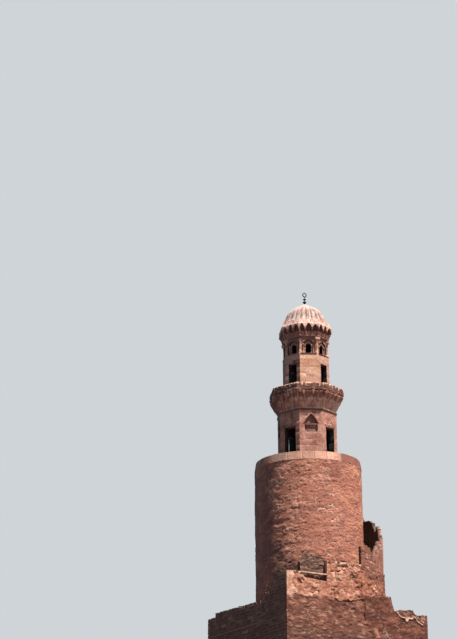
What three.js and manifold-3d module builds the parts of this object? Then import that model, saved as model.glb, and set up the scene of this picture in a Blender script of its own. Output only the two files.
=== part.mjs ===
// Spiral minaret: a square storey with an outside stair, a round storey with a spiral stair,
// two octagonal storeys and a ribbed dome, as a 1:2 scale model.
// Lengths below are the real tower's, in metres. piece() turns them into model millimetres.
// x runs along the front face, y away from the viewer, z up from the ground.

import * as THREE from "three";
import { mergeVertices } from "three/addons/utils/BufferGeometryUtils.js";
import Module from "manifold-3d";

const wasm = await Module();
wasm.setup();

const SCALE = 1 / 2; // the real tower is over 40 m tall
const MODEL_MM = 1000 * SCALE; // model millimetres in one real metre
const SEAM = 0.3 / MODEL_MM; // open joint between neighbouring pieces, 0.3 mm on the model

// Square storey and its stair
const CORE = { x: 4.7, y: 4.3, top: 20.35 }; // half sizes in plan, and the terrace floor
const STAIR_WIDTH = 2.1; // from the core to the stair's outer face
const WALL = 0.4; // thickness of the stair's outer walls
const PARAPET = 1.1; // height of a whole parapet over its tread
const RISERS = { left: 28, front: 30, right: 28, back: 22 };
const RISER_COUNT = RISERS.left + RISERS.front + RISERS.right + RISERS.back;
const RISER = CORE.top / RISER_COUNT;
const OUTER = { x: CORE.x + STAIR_WIDTH, y: CORE.y + STAIR_WIDTH };
const BACK_FLIGHT_END = -2.2; // where the last flight reaches the terrace level
const TOP_LANDING_END = -3.4;

// Round storey and its spiral stair
const AXIS_X = -0.36; // the round storey stands a little left of the base's centre
const DRUM_RADIUS = 3.17;
const PLATFORM = 29.3; // floor on top of the drum
const COPING_BOTTOM = 29.77;
const RIM_TOP = 30.22;
const RIM_WALL = 0.35;
const TREAD_ANGLE = 5; // degrees of azimuth for each tread
const SPIRAL = { start: -45, split: 120, end: 180, inner: 4.06, outer: 4.3 }; // azimuths, radii
const SPIRAL_RISER = (PLATFORM - CORE.top) / ((SPIRAL.end - SPIRAL.start) / TREAD_ANGLE);
const RIM_DOOR = { from: 165, to: 180 }; // where the spiral stair enters the platform

// Broken parapet along the front
const STUMP_END = -3.9; // the corner stump ends here, then comes the gap with its thin ledge
const GAP_END = -2.04; // the whole front block starts here
const LOW_WALL_START = 0.5; // the low wall starts against the round facing
const FACING_TOP = 23.5;
const FACING_END = 55; // azimuth where the front block's level top meets the tall side wall
const RUBBLE_START = -3.6;
const RUBBLE_INNER = 3.72; // inner face of the rubble backing, from the axis
const RUBBLE_END = 10;

// Octagonal storeys, dome and finial
const OCTAGON_TURN = -2; // degrees that the octagons are turned from the base
const LOWER = { radius: 1.806, wall: 0.4, bottom: 29.3, plinth: 29.6, head: 32.2, top: 33.2 };
const LOWER_DOOR_WIDTH = 0.8;
const BALCONY = { radius: 2.35, flareTop: 34.2, floor: 34.45, top: 34.72, kerb: 0.25 };
const LANTERN = { radius: 1.434, wall: 0.3, head: 36.2, top: 37.8 };
const LANTERN_DOOR_WIDTH = 0.6;
const WINDOW = { width: 0.34, sill: 36.81, top: 37.43 };
const BAND = { radius: 1.36, bottom: 36.72, depth: 0.11 }; // the set-back wall of the windows
const COLONNETTE = { radius: 0.07, place: 1.32 };
const CORNICE = { radius: 1.645, flareTop: 38.25, bandTop: 38.6, edge: 1.485, top: 38.94 };
const DOME = { base: CORNICE.top + SEAM, top: 40.36, wall: 0.2, ribs: 24 };
const FINIAL_TOP = 41.1;

// Photo colours of the weathered stone, the pale dome and the dark metal
const STONE = { color: 0xa9694a, roughness: 0.95, metalness: 0 };
const SHADED_STONE = { color: 0x7d5546, roughness: 0.95, metalness: 0 };
const PALE_STONE = { color: 0xc9a08a, roughness: 0.9, metalness: 0 };
const DARK_METAL = { color: 0x2a2624, roughness: 0.55, metalness: 0.8 };

const root = new THREE.Group();

// Turns a solid into a named mesh at model size
function piece(name, solid, look) {
  const { numProp, numVert, vertProperties, triVerts } = solid.getMesh();
  const places = new Float32Array(numVert * 3);
  for (let i = 0; i < numVert; i++) {
    places.set(vertProperties.subarray(i * numProp, i * numProp + 3), i * 3);
  }
  const geometry = new THREE.BufferGeometry();
  geometry.setAttribute("position", new THREE.BufferAttribute(places, 3));
  geometry.setIndex(new THREE.BufferAttribute(triVerts, 1));
  geometry.scale(MODEL_MM, MODEL_MM, MODEL_MM);
  const flat = geometry.toNonIndexed();
  flat.computeVertexNormals();
  const mesh = new THREE.Mesh(flat, new THREE.MeshStandardMaterial(look));
  mesh.name = name;
  root.add(mesh);
}

// Turns a three.js geometry into a solid for cutting and joining
function solidOf(geometry) {
  const loose = geometry.index ? geometry.toNonIndexed() : geometry;
  const bare = new THREE.BufferGeometry();
  bare.setAttribute("position", loose.getAttribute("position"));
  const merged = mergeVertices(bare, 1e-5);
  const corners = merged.index.array;
  const faces = [];
  for (let i = 0; i < corners.length; i += 3) {
    const [a, b, c] = corners.subarray(i, i + 3);
    if (a !== b && b !== c && c !== a) faces.push(a, b, c);
  }
  return new wasm.Manifold(
    new wasm.Mesh({
      numProp: 3,
      vertProperties: merged.attributes.position.array,
      triVerts: Uint32Array.from(faces),
    }),
  );
}

function joined(solids) {
  return solids.reduce((whole, next) => whole.add(next));
}

// A box between two corners
function block([x0, x1], [y0, y1], [z0, z1]) {
  const box = new THREE.BoxGeometry(x1 - x0, y1 - y0, z1 - z0);
  box.translate((x0 + x1) / 2, (y0 + y1) / 2, (z0 + z1) / 2);
  return solidOf(box);
}

function extruded(points, depth, holes = []) {
  const toVector = ([u, v]) => new THREE.Vector2(u, v);
  const shape = new THREE.Shape(points.map(toVector));
  shape.holes = holes.map((hole) => new THREE.Path(hole.map(toVector)));
  return new THREE.ExtrudeGeometry(shape, { depth, bevelEnabled: false });
}

// A plan outline raised from z0 to z1
function raised(plan, z0, z1, holes) {
  const prism = extruded(plan, z1 - z0, holes);
  prism.translate(0, 0, z0);
  return solidOf(prism);
}

// A side view in x and z, given depth along y
function alongY(outline, y0, y1) {
  const prism = extruded(outline, y1 - y0);
  prism.rotateX(Math.PI / 2);
  prism.translate(0, y1, 0);
  return solidOf(prism);
}

// A side view in y and z, given depth along x
function alongX(outline, x0, x1) {
  const prism = extruded(outline, x1 - x0);
  const [ex, ey, ez] = [[0, 1, 0], [0, 0, 1], [1, 0, 0]].map((e) => new THREE.Vector3(...e));
  prism.applyMatrix4(new THREE.Matrix4().makeBasis(ex, ey, ez));
  prism.translate(x0, 0, 0);
  return solidOf(prism);
}

// The plan point at a radius and azimuth about the drum's axis: 0 is the front, 90 the right
function at(radius, azimuth) {
  const turn = THREE.MathUtils.degToRad(azimuth);
  return [AXIS_X + radius * Math.sin(turn), -radius * Math.cos(turn)];
}

// Plan points along an arc, one at each tread edge
function arc(radius, from, to) {
  const count = Math.round(Math.abs(to - from) / TREAD_ANGLE);
  return Array.from({ length: count + 1 }, (_, i) => at(radius, from + ((to - from) * i) / count));
}

// The plan of a curved wall between two radii
function curvedPlan(inner, outer, from, to) {
  return [...arc(outer, from, to), ...arc(inner, to, from)];
}

// Height of the spiral tread that starts at an azimuth
function treadHeight(azimuth) {
  return CORE.top + SPIRAL_RISER * ((azimuth - SPIRAL.start) / TREAD_ANGLE + 1);
}

function treadEdges(from, to) {
  const count = Math.round((to - from) / TREAD_ANGLE);
  return Array.from({ length: count }, (_, i) => from + i * TREAD_ANGLE);
}

// Top of the spiral parapet, as broken as the photo shows it
const PARAPET_TOPS = [
  [0, 24.9],
  [10, 24.9],
  [18, 24.55],
  [22, 24.3],
  [26, 24.7],
  [36, 25.0],
  [52, 25.3],
  [58, 25.8],
  [67, 26.5],
  [88, 27.3],
  [96, 27.4],
  [150, 29.6],
  [175, 30.2],
  [190, 30.2],
];

function parapetTop(azimuth) {
  const next = PARAPET_TOPS.findIndex(([place]) => place >= azimuth);
  const [a0, z0] = PARAPET_TOPS[next - 1];
  const [a1, z1] = PARAPET_TOPS[next];
  return THREE.MathUtils.mapLinear(azimuth, a0, a1, z0, z1);
}

// A thin upright slit across the spiral's wall, centred on an azimuth
function slitAt(azimuth) {
  const slit = new THREE.BoxGeometry(SEAM * 2, 2, 20);
  slit.translate(0, -SPIRAL.inner, CORE.top + 8);
  slit.rotateZ(THREE.MathUtils.degToRad(azimuth));
  slit.translate(AXIS_X, 0, 0);
  return solidOf(slit);
}

// Side view of a flight: a saw-tooth top over solid masonry, then a level landing
function flightOutline(start, end, landingEnd, fromHeight, risers) {
  const going = (end - start) / risers;
  const outline = [[start, 0]];
  for (let i = 0; i < risers; i++) {
    const height = fromHeight + (i + 1) * RISER;
    outline.push([start + i * going, height], [start + (i + 1) * going, height]);
  }
  outline[outline.length - 1][0] = landingEnd;
  outline.push([landingEnd, 0]);
  return end > start ? outline.reverse() : outline;
}

// Side view of a stair wall: level past the lower landing, sloping, then level again
function stairWallOutline([levelStart, slopeStart, slopeEnd, levelEnd], low, high) {
  return [
    [levelStart, 0],
    [levelEnd, 0],
    [levelEnd, high + PARAPET],
    [slopeEnd, high + PARAPET],
    [slopeStart, low + PARAPET],
    [levelStart, low + PARAPET],
  ];
}

function squareStorey() {
  const landing = { left: RISERS.left * RISER };
  landing.front = landing.left + RISERS.front * RISER;
  landing.right = landing.front + RISERS.right * RISER;
  const inside = { x: OUTER.x - WALL - SEAM, y: OUTER.y - WALL - SEAM };
  const near = { x: CORE.x + SEAM, y: CORE.y + SEAM };

  piece("square_storey", block([-CORE.x, CORE.x], [-CORE.y, CORE.y], [0, CORE.top]), STONE);

  const left = flightOutline(CORE.y, -CORE.y, -inside.y, 0, RISERS.left);
  piece("stair_flight_left", alongX(left, -inside.x, -near.x), STONE);
  const front = flightOutline(near.x - CORE.x * 2, CORE.x, inside.x, landing.left, RISERS.front);
  piece("stair_flight_front", alongY(front, -inside.y, -near.y), STONE);
  const right = flightOutline(near.y - CORE.y * 2, CORE.y, inside.y, landing.front, RISERS.right);
  piece("stair_flight_right", alongX(right, near.x, inside.x), STONE);
  const back = flightOutline(
    CORE.x - SEAM,
    BACK_FLIGHT_END,
    TOP_LANDING_END + WALL + SEAM,
    landing.right,
    RISERS.back,
  );
  piece("stair_flight_back", alongY(back, near.y, inside.y), STONE);

  const { x, y } = OUTER;
  const wallInside = { x: x - WALL, y: y - WALL };
  piece(
    "stair_wall_left",
    alongX(
      stairWallOutline([CORE.y, CORE.y, -CORE.y, -wallInside.y + SEAM], RISER, landing.left),
      -x,
      -wallInside.x,
    ),
    SHADED_STONE,
  );
  piece(
    "stair_wall_front",
    alongY(
      stairWallOutline([-x, -CORE.x, CORE.x, x], landing.left, landing.front),
      -y,
      -wallInside.y,
    ),
    STONE,
  );
  piece(
    "stair_wall_right",
    alongX(
      stairWallOutline(
        [-wallInside.y + SEAM, -CORE.y, CORE.y, wallInside.y - SEAM],
        landing.front,
        landing.right,
      ),
      wallInside.x,
      x,
    ),
    STONE,
  );
  piece(
    "stair_wall_back",
    alongY(
      stairWallOutline([x, CORE.x, BACK_FLIGHT_END, TOP_LANDING_END], landing.right, CORE.top),
      wallInside.y,
      y,
    ),
    SHADED_STONE,
  );
  piece(
    "top_landing_end_wall",
    block(
      [TOP_LANDING_END, TOP_LANDING_END + WALL],
      [near.y, inside.y],
      [0, CORE.top + PARAPET],
    ),
    SHADED_STONE,
  );
}

// Parapets on the edge of the terrace, with the broken tops that the photo shows
function terrace() {
  const { x, y, top } = CORE;
  const facing = SPIRAL.outer - SPIRAL.inner;
  const leftTop = [
    [-2.98, 22.65],
    [-2.98, 21.8],
    [-2.02, 21.8],
    [-2.02, 21.42],
    [3.41, 21.57],
    [3.41, 21.33],
  ];
  const leftInner = -x + WALL;
  const leftStart = -y + facing + SEAM;
  piece(
    "terrace_parapet_left",
    alongX(
      [[leftStart, top], [y, top], [y, 21.33], ...leftTop.slice().reverse(), [leftStart, 22.65]],
      -x,
      leftInner,
    ),
    SHADED_STONE,
  );
  piece(
    "corner_stump",
    alongY(
      [
        [-x, top],
        [GAP_END - SEAM, top],
        [GAP_END - SEAM, 22.34],
        [-2.9, 22.32],
        [-3.4, 22.42],
        [-3.5, 22.66],
        [GAP_END - SEAM, 22.62],
        [GAP_END - SEAM, 22.7],
        [STUMP_END, 22.77],
        [-x, 22.7],
      ],
      -y,
      -y + facing,
    ),
    STONE,
  );

  const frontPlan = [
    [GAP_END, -SPIRAL.outer],
    ...arc(SPIRAL.outer, 0, FACING_END),
    ...arc(SPIRAL.inner, FACING_END, 0),
    [GAP_END, -SPIRAL.inner],
  ];
  piece("front_facing_wall", raised(frontPlan, top, FACING_TOP), STONE);

  const rubbleOuter = SPIRAL.inner - SEAM;
  const rubbleTop = [
    [AXIS_X, FACING_TOP],
    [-1.8, FACING_TOP],
    [-1.9, 23.8],
    [-2.3, 24.0],
    [-2.7, 24.05],
    [-3.2, 23.85],
    [RUBBLE_START, 23.4],
  ];
  const straight = alongY(
    [[RUBBLE_START, top], [AXIS_X, top], ...rubbleTop],
    -rubbleOuter,
    -RUBBLE_INNER,
  );
  const curved = raised(curvedPlan(RUBBLE_INNER, rubbleOuter, 0, RUBBLE_END), top, FACING_TOP);
  const backing = straight.add(curved).subtract(slitAt(RUBBLE_END));
  piece("rubble_backing_wall", backing, SHADED_STONE);

  const lowInner = -y + WALL;
  const low = alongY(
    [
      [LOW_WALL_START, top],
      [x, top],
      [x, 21.03],
      [3.85, 20.98],
      [3.66, 21.24],
      [2.8, 21.16],
      [2.43, 21.06],
      [2.33, 21.38],
      [2.23, 21.88],
      [1.83, 21.85],
      [LOW_WALL_START, 21.74],
    ],
    -y,
    lowInner,
  );
  const roundWall = raised([[AXIS_X, 0], ...arc(SPIRAL.outer + SEAM, 0, 90)], top - 1, FACING_TOP);
  piece("terrace_parapet_front", low.subtract(roundWall), STONE);
  const sideStart = lowInner + SEAM;
  piece(
    "terrace_parapet_right",
    alongX(
      [
        [sideStart, top],
        [y, top],
        [y, 21.4],
        [1.2, 21.45],
        [0.4, 21.2],
        [-1.6, 21.3],
        [-2.4, 21.0],
        [sideStart, 20.98],
      ],
      x - WALL,
      x,
    ),
    STONE,
  );
  piece(
    "terrace_parapet_back_right",
    block([1.6, x - WALL - SEAM], [y - WALL, y], [top, top + PARAPET]),
    SHADED_STONE,
  );
  piece(
    "terrace_parapet_back_left",
    block([leftInner + SEAM, TOP_LANDING_END + WALL], [y - WALL, y], [top, 21.35]),
    SHADED_STONE,
  );
}

// Solid steps between the drum and the spiral parapet, from the terrace up to the platform
function spiralStair() {
  const near = DRUM_RADIUS + SEAM;
  const behindRubble = RUBBLE_INNER - SEAM;
  const besideWall = SPIRAL.inner - SEAM;
  const steps = (from, to, planFrom) =>
    joined(treadEdges(from, to).map((a) => raised(planFrom(a), CORE.top, treadHeight(a))));

  const corner = block(
    [-CORE.x + WALL + SEAM, AXIS_X - SEAM],
    [-SPIRAL.inner + SEAM, CORE.y],
    [0, RIM_TOP],
  );
  const backing = block([RUBBLE_START - SEAM, CORE.x], [-CORE.y, -behindRubble], [0, RIM_TOP]);
  const front = steps(SPIRAL.start, 0, (azimuth) => curvedPlan(near, 6, azimuth, 0));
  piece("spiral_steps_front", front.intersect(corner).subtract(backing), STONE);

  const right = steps(0, 90, (azimuth) =>
    azimuth < RUBBLE_END
      ? [
          ...arc(behindRubble, azimuth, RUBBLE_END),
          ...arc(besideWall, RUBBLE_END, 90),
          ...arc(near, 90, azimuth),
        ]
      : curvedPlan(near, besideWall, azimuth, 90),
  );
  const frontOfJoint = block([-CORE.x, CORE.x], [-CORE.y, -SEAM], [0, RIM_TOP]);
  piece("spiral_steps_right", right.intersect(frontOfJoint), STONE);

  const back = steps(90, SPIRAL.end, (azimuth) =>
    curvedPlan(near, besideWall, azimuth, SPIRAL.end),
  );
  piece("spiral_steps_back", back, STONE);
}

// Outer walls of the spiral stair, stepped up tread by tread
function spiralWalls() {
  const curvedWall = (from, to, bottom, outer) => {
    const middleTop = (azimuth) => parapetTop(azimuth + TREAD_ANGLE / 2);
    const edges = treadEdges(from, to);
    const lowest = Math.min(...edges.map(middleTop));
    const courses = edges.map((azimuth) =>
      raised(
        curvedPlan(SPIRAL.inner, outer, azimuth, azimuth + TREAD_ANGLE),
        bottom,
        middleTop(azimuth),
      ),
    );
    return joined([raised(curvedPlan(SPIRAL.inner, outer, from, to), bottom, lowest), ...courses]);
  };
  const front = curvedWall(RUBBLE_END, FACING_END, FACING_TOP, 4.27);
  piece("spiral_parapet_front", front, STONE);

  const right = curvedWall(FACING_END, SPIRAL.split, CORE.top, SPIRAL.outer);
  piece("spiral_wall_right", right.subtract(slitAt(FACING_END)), STONE);

  const backEnd = SPIRAL.end + TREAD_ANGLE;
  const back = curvedWall(SPIRAL.split, backEnd, CORE.top, SPIRAL.outer);
  const closing = raised(
    curvedPlan(DRUM_RADIUS + SEAM, SPIRAL.outer - 0.1, SPIRAL.end, backEnd),
    CORE.top,
    RIM_TOP,
  );
  const closed = closing.subtract(slitAt(SPIRAL.end)).add(back);
  piece("spiral_wall_back", closed.subtract(slitAt(SPIRAL.split)), SHADED_STONE);
}

function drum() {
  const wholeTurn = arc(DRUM_RADIUS, 0, 360).slice(0, -1);
  piece("drum", raised(wholeTurn, CORE.top, PLATFORM), STONE);
  const ring = curvedPlan(
    DRUM_RADIUS - RIM_WALL,
    DRUM_RADIUS,
    RIM_DOOR.to - 360,
    RIM_DOOR.from,
  );
  piece("rim_wall", raised(ring, PLATFORM, COPING_BOTTOM), STONE);
  piece("rim_coping", raised(ring, COPING_BOTTOM, RIM_TOP), PALE_STONE);
}

// An octagonal prism or flare about the drum's axis
function octagon(bottomRadius, z0, z1, topRadius = bottomRadius) {
  const prism = new THREE.CylinderGeometry(topRadius, bottomRadius, z1 - z0, 8);
  prism.rotateX(Math.PI / 2);
  prism.rotateZ(THREE.MathUtils.degToRad(OCTAGON_TURN));
  prism.translate(AXIS_X, 0, (z0 + z1) / 2);
  return solidOf(prism);
}

// Azimuth of the middle of each face: even faces hold the doors, odd ones the niches
const FACES = Array.from({ length: 8 }, (_, i) => OCTAGON_TURN + 22.5 + 45 * i);
const DOOR_FACES = FACES.filter((_, i) => i % 2 === 0);
const NICHE_FACES = FACES.filter((_, i) => i % 2 === 1);

// An upright shape pushed through a face, between two distances from the axis
function throughFace(azimuth, outline, near, far) {
  const cutter = extruded(outline, far - near);
  cutter.rotateX(Math.PI / 2);
  cutter.translate(0, -near, 0);
  cutter.rotateZ(THREE.MathUtils.degToRad(azimuth));
  cutter.translate(AXIS_X, 0, 0);
  return solidOf(cutter);
}

function doorway(width, z0, z1) {
  return [
    [-width / 2, z0],
    [width / 2, z0],
    [width / 2, z1],
    [-width / 2, z1],
  ];
}

// An opening with a half-round head
function roundHeaded(width, z0, z1, steps = 8) {
  const radius = width / 2;
  const head = Array.from({ length: steps + 1 }, (_, i) => {
    const turn = (Math.PI * i) / steps;
    return [radius * Math.cos(turn), z1 - radius + radius * Math.sin(turn)];
  });
  return [[-radius, z0], [radius, z0], ...head];
}

// An opening with the pointed head of a keel arch
function keelHeaded(width, z0, spring, apex) {
  const half = width / 2;
  const rise = apex - spring;
  const right = [
    [half, spring],
    [half * 0.9, spring + rise * 0.38],
    [half * 0.55, spring + rise * 0.68],
  ];
  const left = right.map(([u, v]) => [-u, v]).reverse();
  return [[-half, z0], [half, z0], ...right, [0, apex], ...left];
}

function octagonWall(radius, thickness, z0, z1) {
  return octagon(radius, z0, z1).subtract(octagon(radius - thickness, z0 - 0.1, z1 + 0.1));
}

// A face's quarter of the wall, from the middle of one doorway to the middle of the next
function quarter(azimuth, z0, z1) {
  const reach = 3;
  const turn = (degrees) => THREE.MathUtils.degToRad(degrees);
  const corner = (degrees) => [
    AXIS_X + reach * Math.sin(turn(degrees)),
    -reach * Math.cos(turn(degrees)),
  ];
  return raised(
    [[AXIS_X, 0], corner(azimuth - 45), corner(azimuth), corner(azimuth + 45)],
    z0,
    z1,
  );
}

function lowerOctagon() {
  const { radius, wall, bottom, plinth, head, top } = LOWER;
  const doors = DOOR_FACES.map((azimuth) =>
    throughFace(azimuth, doorway(LOWER_DOOR_WIDTH, plinth, head), 0.5, 3),
  );
  const nicheOutline = keelHeaded(0.76, 31.78, 32.35, 32.9);
  const niches = NICHE_FACES.map((azimuth) => throughFace(azimuth, nicheOutline, 1.55, 3));
  const walls = octagonWall(radius, wall, plinth, top).subtract(joined([...doors, ...niches]));

  const sill = octagonWall(radius + 0.06, wall + 0.06, bottom, plinth);
  piece("lower_octagon_plinth", sill, STONE);
  NICHE_FACES.forEach((azimuth, i) => {
    const pier = walls.intersect(quarter(azimuth, plinth, head - SEAM));
    piece(`lower_octagon_pier_${i + 1}`, pier, STONE);
  });
  const heads = walls.intersect(octagon(radius + 1, head, top));
  piece("lower_octagon_door_heads", heads, STONE);
}

// A flare of three tiers that carries a wider slab
function tieredFlare(inner, from, to, z0, z1, tiers) {
  const rise = (z1 - z0) / tiers;
  const out = (to - from) / tiers;
  const rings = Array.from({ length: tiers }, (_, i) =>
    octagon(from + out * (i + 0.35), z0 + rise * i, z0 + rise * (i + 1), from + out * (i + 1)),
  );
  return joined(rings).subtract(octagon(inner, z0 - 0.1, z1 + 0.1));
}

function balcony() {
  const { radius, flareTop, floor, top, kerb } = BALCONY;
  const room = LOWER.radius - LOWER.wall;
  const flare = tieredFlare(room, LOWER.radius, radius - 0.05, LOWER.top, flareTop, 3);
  piece("balcony_muqarnas", flare, SHADED_STONE);
  piece("balcony_floor", octagon(radius, flareTop, floor), STONE);
  piece("balcony_kerb", octagonWall(radius, kerb, floor, top), STONE);
}

function lantern() {
  const { radius, wall, head, top } = LANTERN;
  const bottom = BALCONY.floor;
  const doors = DOOR_FACES.map((azimuth) =>
    throughFace(azimuth, doorway(LANTERN_DOOR_WIDTH, bottom - 1, head), 0.4, 3),
  );
  const windows = FACES.map((azimuth) =>
    throughFace(azimuth, roundHeaded(WINDOW.width, WINDOW.sill, WINDOW.top), 0.4, 3),
  );
  const walls = octagonWall(radius, wall, bottom, top).subtract(joined([...doors, ...windows]));
  NICHE_FACES.forEach((azimuth, i) => {
    const pier = walls.intersect(quarter(azimuth, bottom, head - SEAM));
    piece(`lantern_pier_${i + 1}`, pier, STONE);
  });
  const recess = keelHeaded(0.78, BAND.bottom + 0.06, 37.3, 37.68);
  const back = BAND.radius * Math.cos(Math.PI / 8) - BAND.depth;
  const recesses = FACES.map((azimuth) => throughFace(azimuth, recess, back, 3));
  const colonnettes = FACES.map((azimuth) => {
    const height = top - BAND.bottom;
    const shaft = new THREE.CylinderGeometry(COLONNETTE.radius, COLONNETTE.radius, height, 10);
    shaft.rotateX(Math.PI / 2);
    const [x, y] = at(COLONNETTE.place, azimuth + 22.5);
    shaft.translate(x, y, BAND.bottom + height / 2);
    return solidOf(shaft);
  });
  const ring = walls.intersect(octagon(radius + 1, head, BAND.bottom));
  const setBack = walls.intersect(octagon(BAND.radius, BAND.bottom, top)).subtract(joined(recesses));
  piece("lantern_window_band", joined([ring, setBack, ...colonnettes]), STONE);
}

function upperCornice() {
  const { radius, flareTop, bandTop, edge, top } = CORNICE;
  const inner = LANTERN.radius - LANTERN.wall;
  const flare = tieredFlare(inner, LANTERN.radius, radius, LANTERN.top, flareTop, 2);
  const band = octagon(radius, flareTop, bandTop);
  const ledge = octagon(radius, bandTop, top, edge);
  const room = octagon(inner, LANTERN.top - 0.1, top + 0.1);
  piece("upper_cornice", joined([flare, band, ledge]).subtract(room), SHADED_STONE);
}

// Half the dome's section, as radius and height
const DOME_OUTLINE = [
  [1.365, DOME.base],
  [1.29, 39.08],
  [1.17, 39.41],
  [1.033, 39.7],
  [0.826, 39.89],
  [0.592, 40.07],
  [0.33, 40.2],
  [0, DOME.top],
];

// The ribbed dome: a shell whose outer face swells between sharp grooves
function dome() {
  const { base, top, wall, ribs } = DOME;
  const foot = new THREE.Vector2(0, base);
  const points = DOME_OUTLINE.map(([r, z]) => new THREE.Vector2(r, z));
  const curve = new THREE.SplineCurve(points).getPoints(14);
  const outside = new THREE.LatheGeometry([foot, ...curve], ribs * 4);
  const corners = outside.getAttribute("position");
  for (let i = 0; i < corners.count; i++) {
    const [x, y, z] = [corners.getX(i), corners.getY(i), corners.getZ(i)];
    const swell = Math.abs(Math.sin((Math.atan2(x, z) * ribs) / 2));
    const factor = 0.955 + 0.045 * swell;
    corners.setXYZ(i, x * factor, y, z * factor);
  }
  const shrunk = points.map(({ x, y }) => {
    const height = ((y - base) * (top - base - wall)) / (top - base);
    return new THREE.Vector2((x * (points[0].x - wall)) / points[0].x, base + height);
  });
  const below = [new THREE.Vector2(0, base - 0.1), new THREE.Vector2(shrunk[0].x, base - 0.1)];
  const inside = new THREE.LatheGeometry([...below, ...shrunk], ribs * 2);
  const [shell, room] = [outside, inside].map((lathe) => {
    lathe.rotateX(Math.PI / 2);
    lathe.translate(AXIS_X, 0, 0);
    return solidOf(lathe);
  });
  piece("dome", shell.subtract(room), PALE_STONE);
}

// A metal rod with two balls and a crescent, standing in the crown of the dome
function finial() {
  const foot = DOME.top + SEAM;
  const profile = [
    [0, foot],
    [0.05, foot],
    [0.05, foot + 0.02],
    [0.1, 40.43],
    [0.11, 40.47],
    [0.09, 40.52],
    [0.035, 40.56],
    [0.035, 40.59],
    [0.085, 40.62],
    [0.095, 40.65],
    [0.08, 40.68],
    [0.025, 40.71],
    [0.02, 40.84],
    [0, 40.84],
  ].map(([r, z]) => new THREE.Vector2(r, z));
  const rod = new THREE.LatheGeometry(profile, 16);
  rod.rotateX(Math.PI / 2);
  rod.translate(AXIS_X, 0, 0);

  const ring = { radius: 0.145, inner: 0.11, lift: 0.02, opening: 0.35 };
  const centre = FINIAL_TOP - ring.radius;
  const crescent = new THREE.Shape();
  const up = Math.PI / 2;
  crescent.absarc(0, centre, ring.radius, up + ring.opening, up - ring.opening + 2 * Math.PI);
  crescent.absarc(
    0,
    centre + ring.lift,
    ring.inner,
    up - ring.opening + 2 * Math.PI,
    up + ring.opening,
    true,
  );
  const plate = new THREE.ExtrudeGeometry(crescent, {
    depth: 0.05,
    bevelEnabled: false,
    curveSegments: 24,
  });
  plate.rotateX(up);
  plate.translate(AXIS_X, 0.025, 0);
  piece("finial", solidOf(rod).add(solidOf(plate)), DARK_METAL);
}

squareStorey();
terrace();
spiralStair();
spiralWalls();
drum();
lowerOctagon();
balcony();
lantern();
upperCornice();
dome();
finial();

export default root;
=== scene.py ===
# Looks of the spiral minaret, a 1:2 scale model of a stone tower.
# Named lengths and heights are the real tower's, in metres, and scaled() turns them into the model's.
# The axis, the camera's place and the floor are in the model's own metres.

import functools
import math
import random

import bmesh
import bpy
from mathutils import Matrix, Vector, noise


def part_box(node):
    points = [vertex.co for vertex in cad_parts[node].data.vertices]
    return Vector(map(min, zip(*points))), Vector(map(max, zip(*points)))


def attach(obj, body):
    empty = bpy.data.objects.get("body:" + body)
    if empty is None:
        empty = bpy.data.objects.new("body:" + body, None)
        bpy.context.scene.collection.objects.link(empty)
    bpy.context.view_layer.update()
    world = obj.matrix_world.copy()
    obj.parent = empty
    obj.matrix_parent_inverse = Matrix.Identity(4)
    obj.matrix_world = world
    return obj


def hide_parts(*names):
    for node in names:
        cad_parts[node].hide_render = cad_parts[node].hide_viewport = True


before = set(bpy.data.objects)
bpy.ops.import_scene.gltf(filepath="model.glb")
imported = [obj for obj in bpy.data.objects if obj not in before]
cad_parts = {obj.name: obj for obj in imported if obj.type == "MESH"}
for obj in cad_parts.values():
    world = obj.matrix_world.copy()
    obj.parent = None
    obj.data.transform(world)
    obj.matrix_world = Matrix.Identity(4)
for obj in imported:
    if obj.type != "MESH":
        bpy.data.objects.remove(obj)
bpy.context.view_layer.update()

NOISE_SEED = 7
noise.seed_set(NOISE_SEED)  # without it noise_vector would take its offsets from the clock

SCALE = 0.5
DRUM_LOW, DRUM_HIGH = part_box("drum")
AXIS_X = (DRUM_LOW.x + DRUM_HIGH.x) / 2
AXIS_Y = (DRUM_LOW.y + DRUM_HIGH.y) / 2
AXIS = Vector((AXIS_X, AXIS_Y, 0))
REAL_AXIS = AXIS_X / SCALE  # x of the drum's axis, in real metres


def scaled(length):
    return length * SCALE


def clamped(value):
    return min(1, max(0, value))


def eased(value, low, high):
    share = clamped((value - low) / (high - low))
    return share * share * (3 - 2 * share)


def azimuth_of(x, y):
    """Degrees about the drum's axis: 0 is the front, 90 the right."""
    return math.degrees(math.atan2(x - AXIS_X, AXIS_Y - y))


def polar(radius, azimuth, z):
    turn = math.radians(azimuth)
    return Vector((AXIS_X + radius * math.sin(turn), AXIS_Y - radius * math.cos(turn), z))


def directions(azimuth):
    """Level unit vectors away from the axis at an azimuth, and to the right of that."""
    turn = math.radians(azimuth)
    return Vector((math.sin(turn), -math.cos(turn), 0)), Vector((math.cos(turn), math.sin(turn), 0))


def outward(point):
    """The level unit vector from the axis to a point."""
    return Vector((point.x - AXIS_X, point.y - AXIS_Y, 0)).normalized()


# Camera, light and floor

SENSOR, LENS = 36, 103.27  # millimetres
VIEW_DEPTH = 500
CAMERA_PLACE = (-28.775, -44.03, 0.8)
CAMERA_TURN = (-30.466, 109.813, -0.3)  # degrees of pan, lift and roll
SUN_AZIMUTH, SUN_HEIGHT, SUN_WIDTH = 16, 66.5, 2.5  # degrees
SUN_POWER, SUN_COLOUR = 9.0, (1.0, 0.87, 0.78)
SUNWARD = (0.4, -0.9, 0)  # the side on which the sky is warmer and brighter
BACKDROP = (0.62, 0.66, 0.68)
FLOOR_REACH = 150


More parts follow.
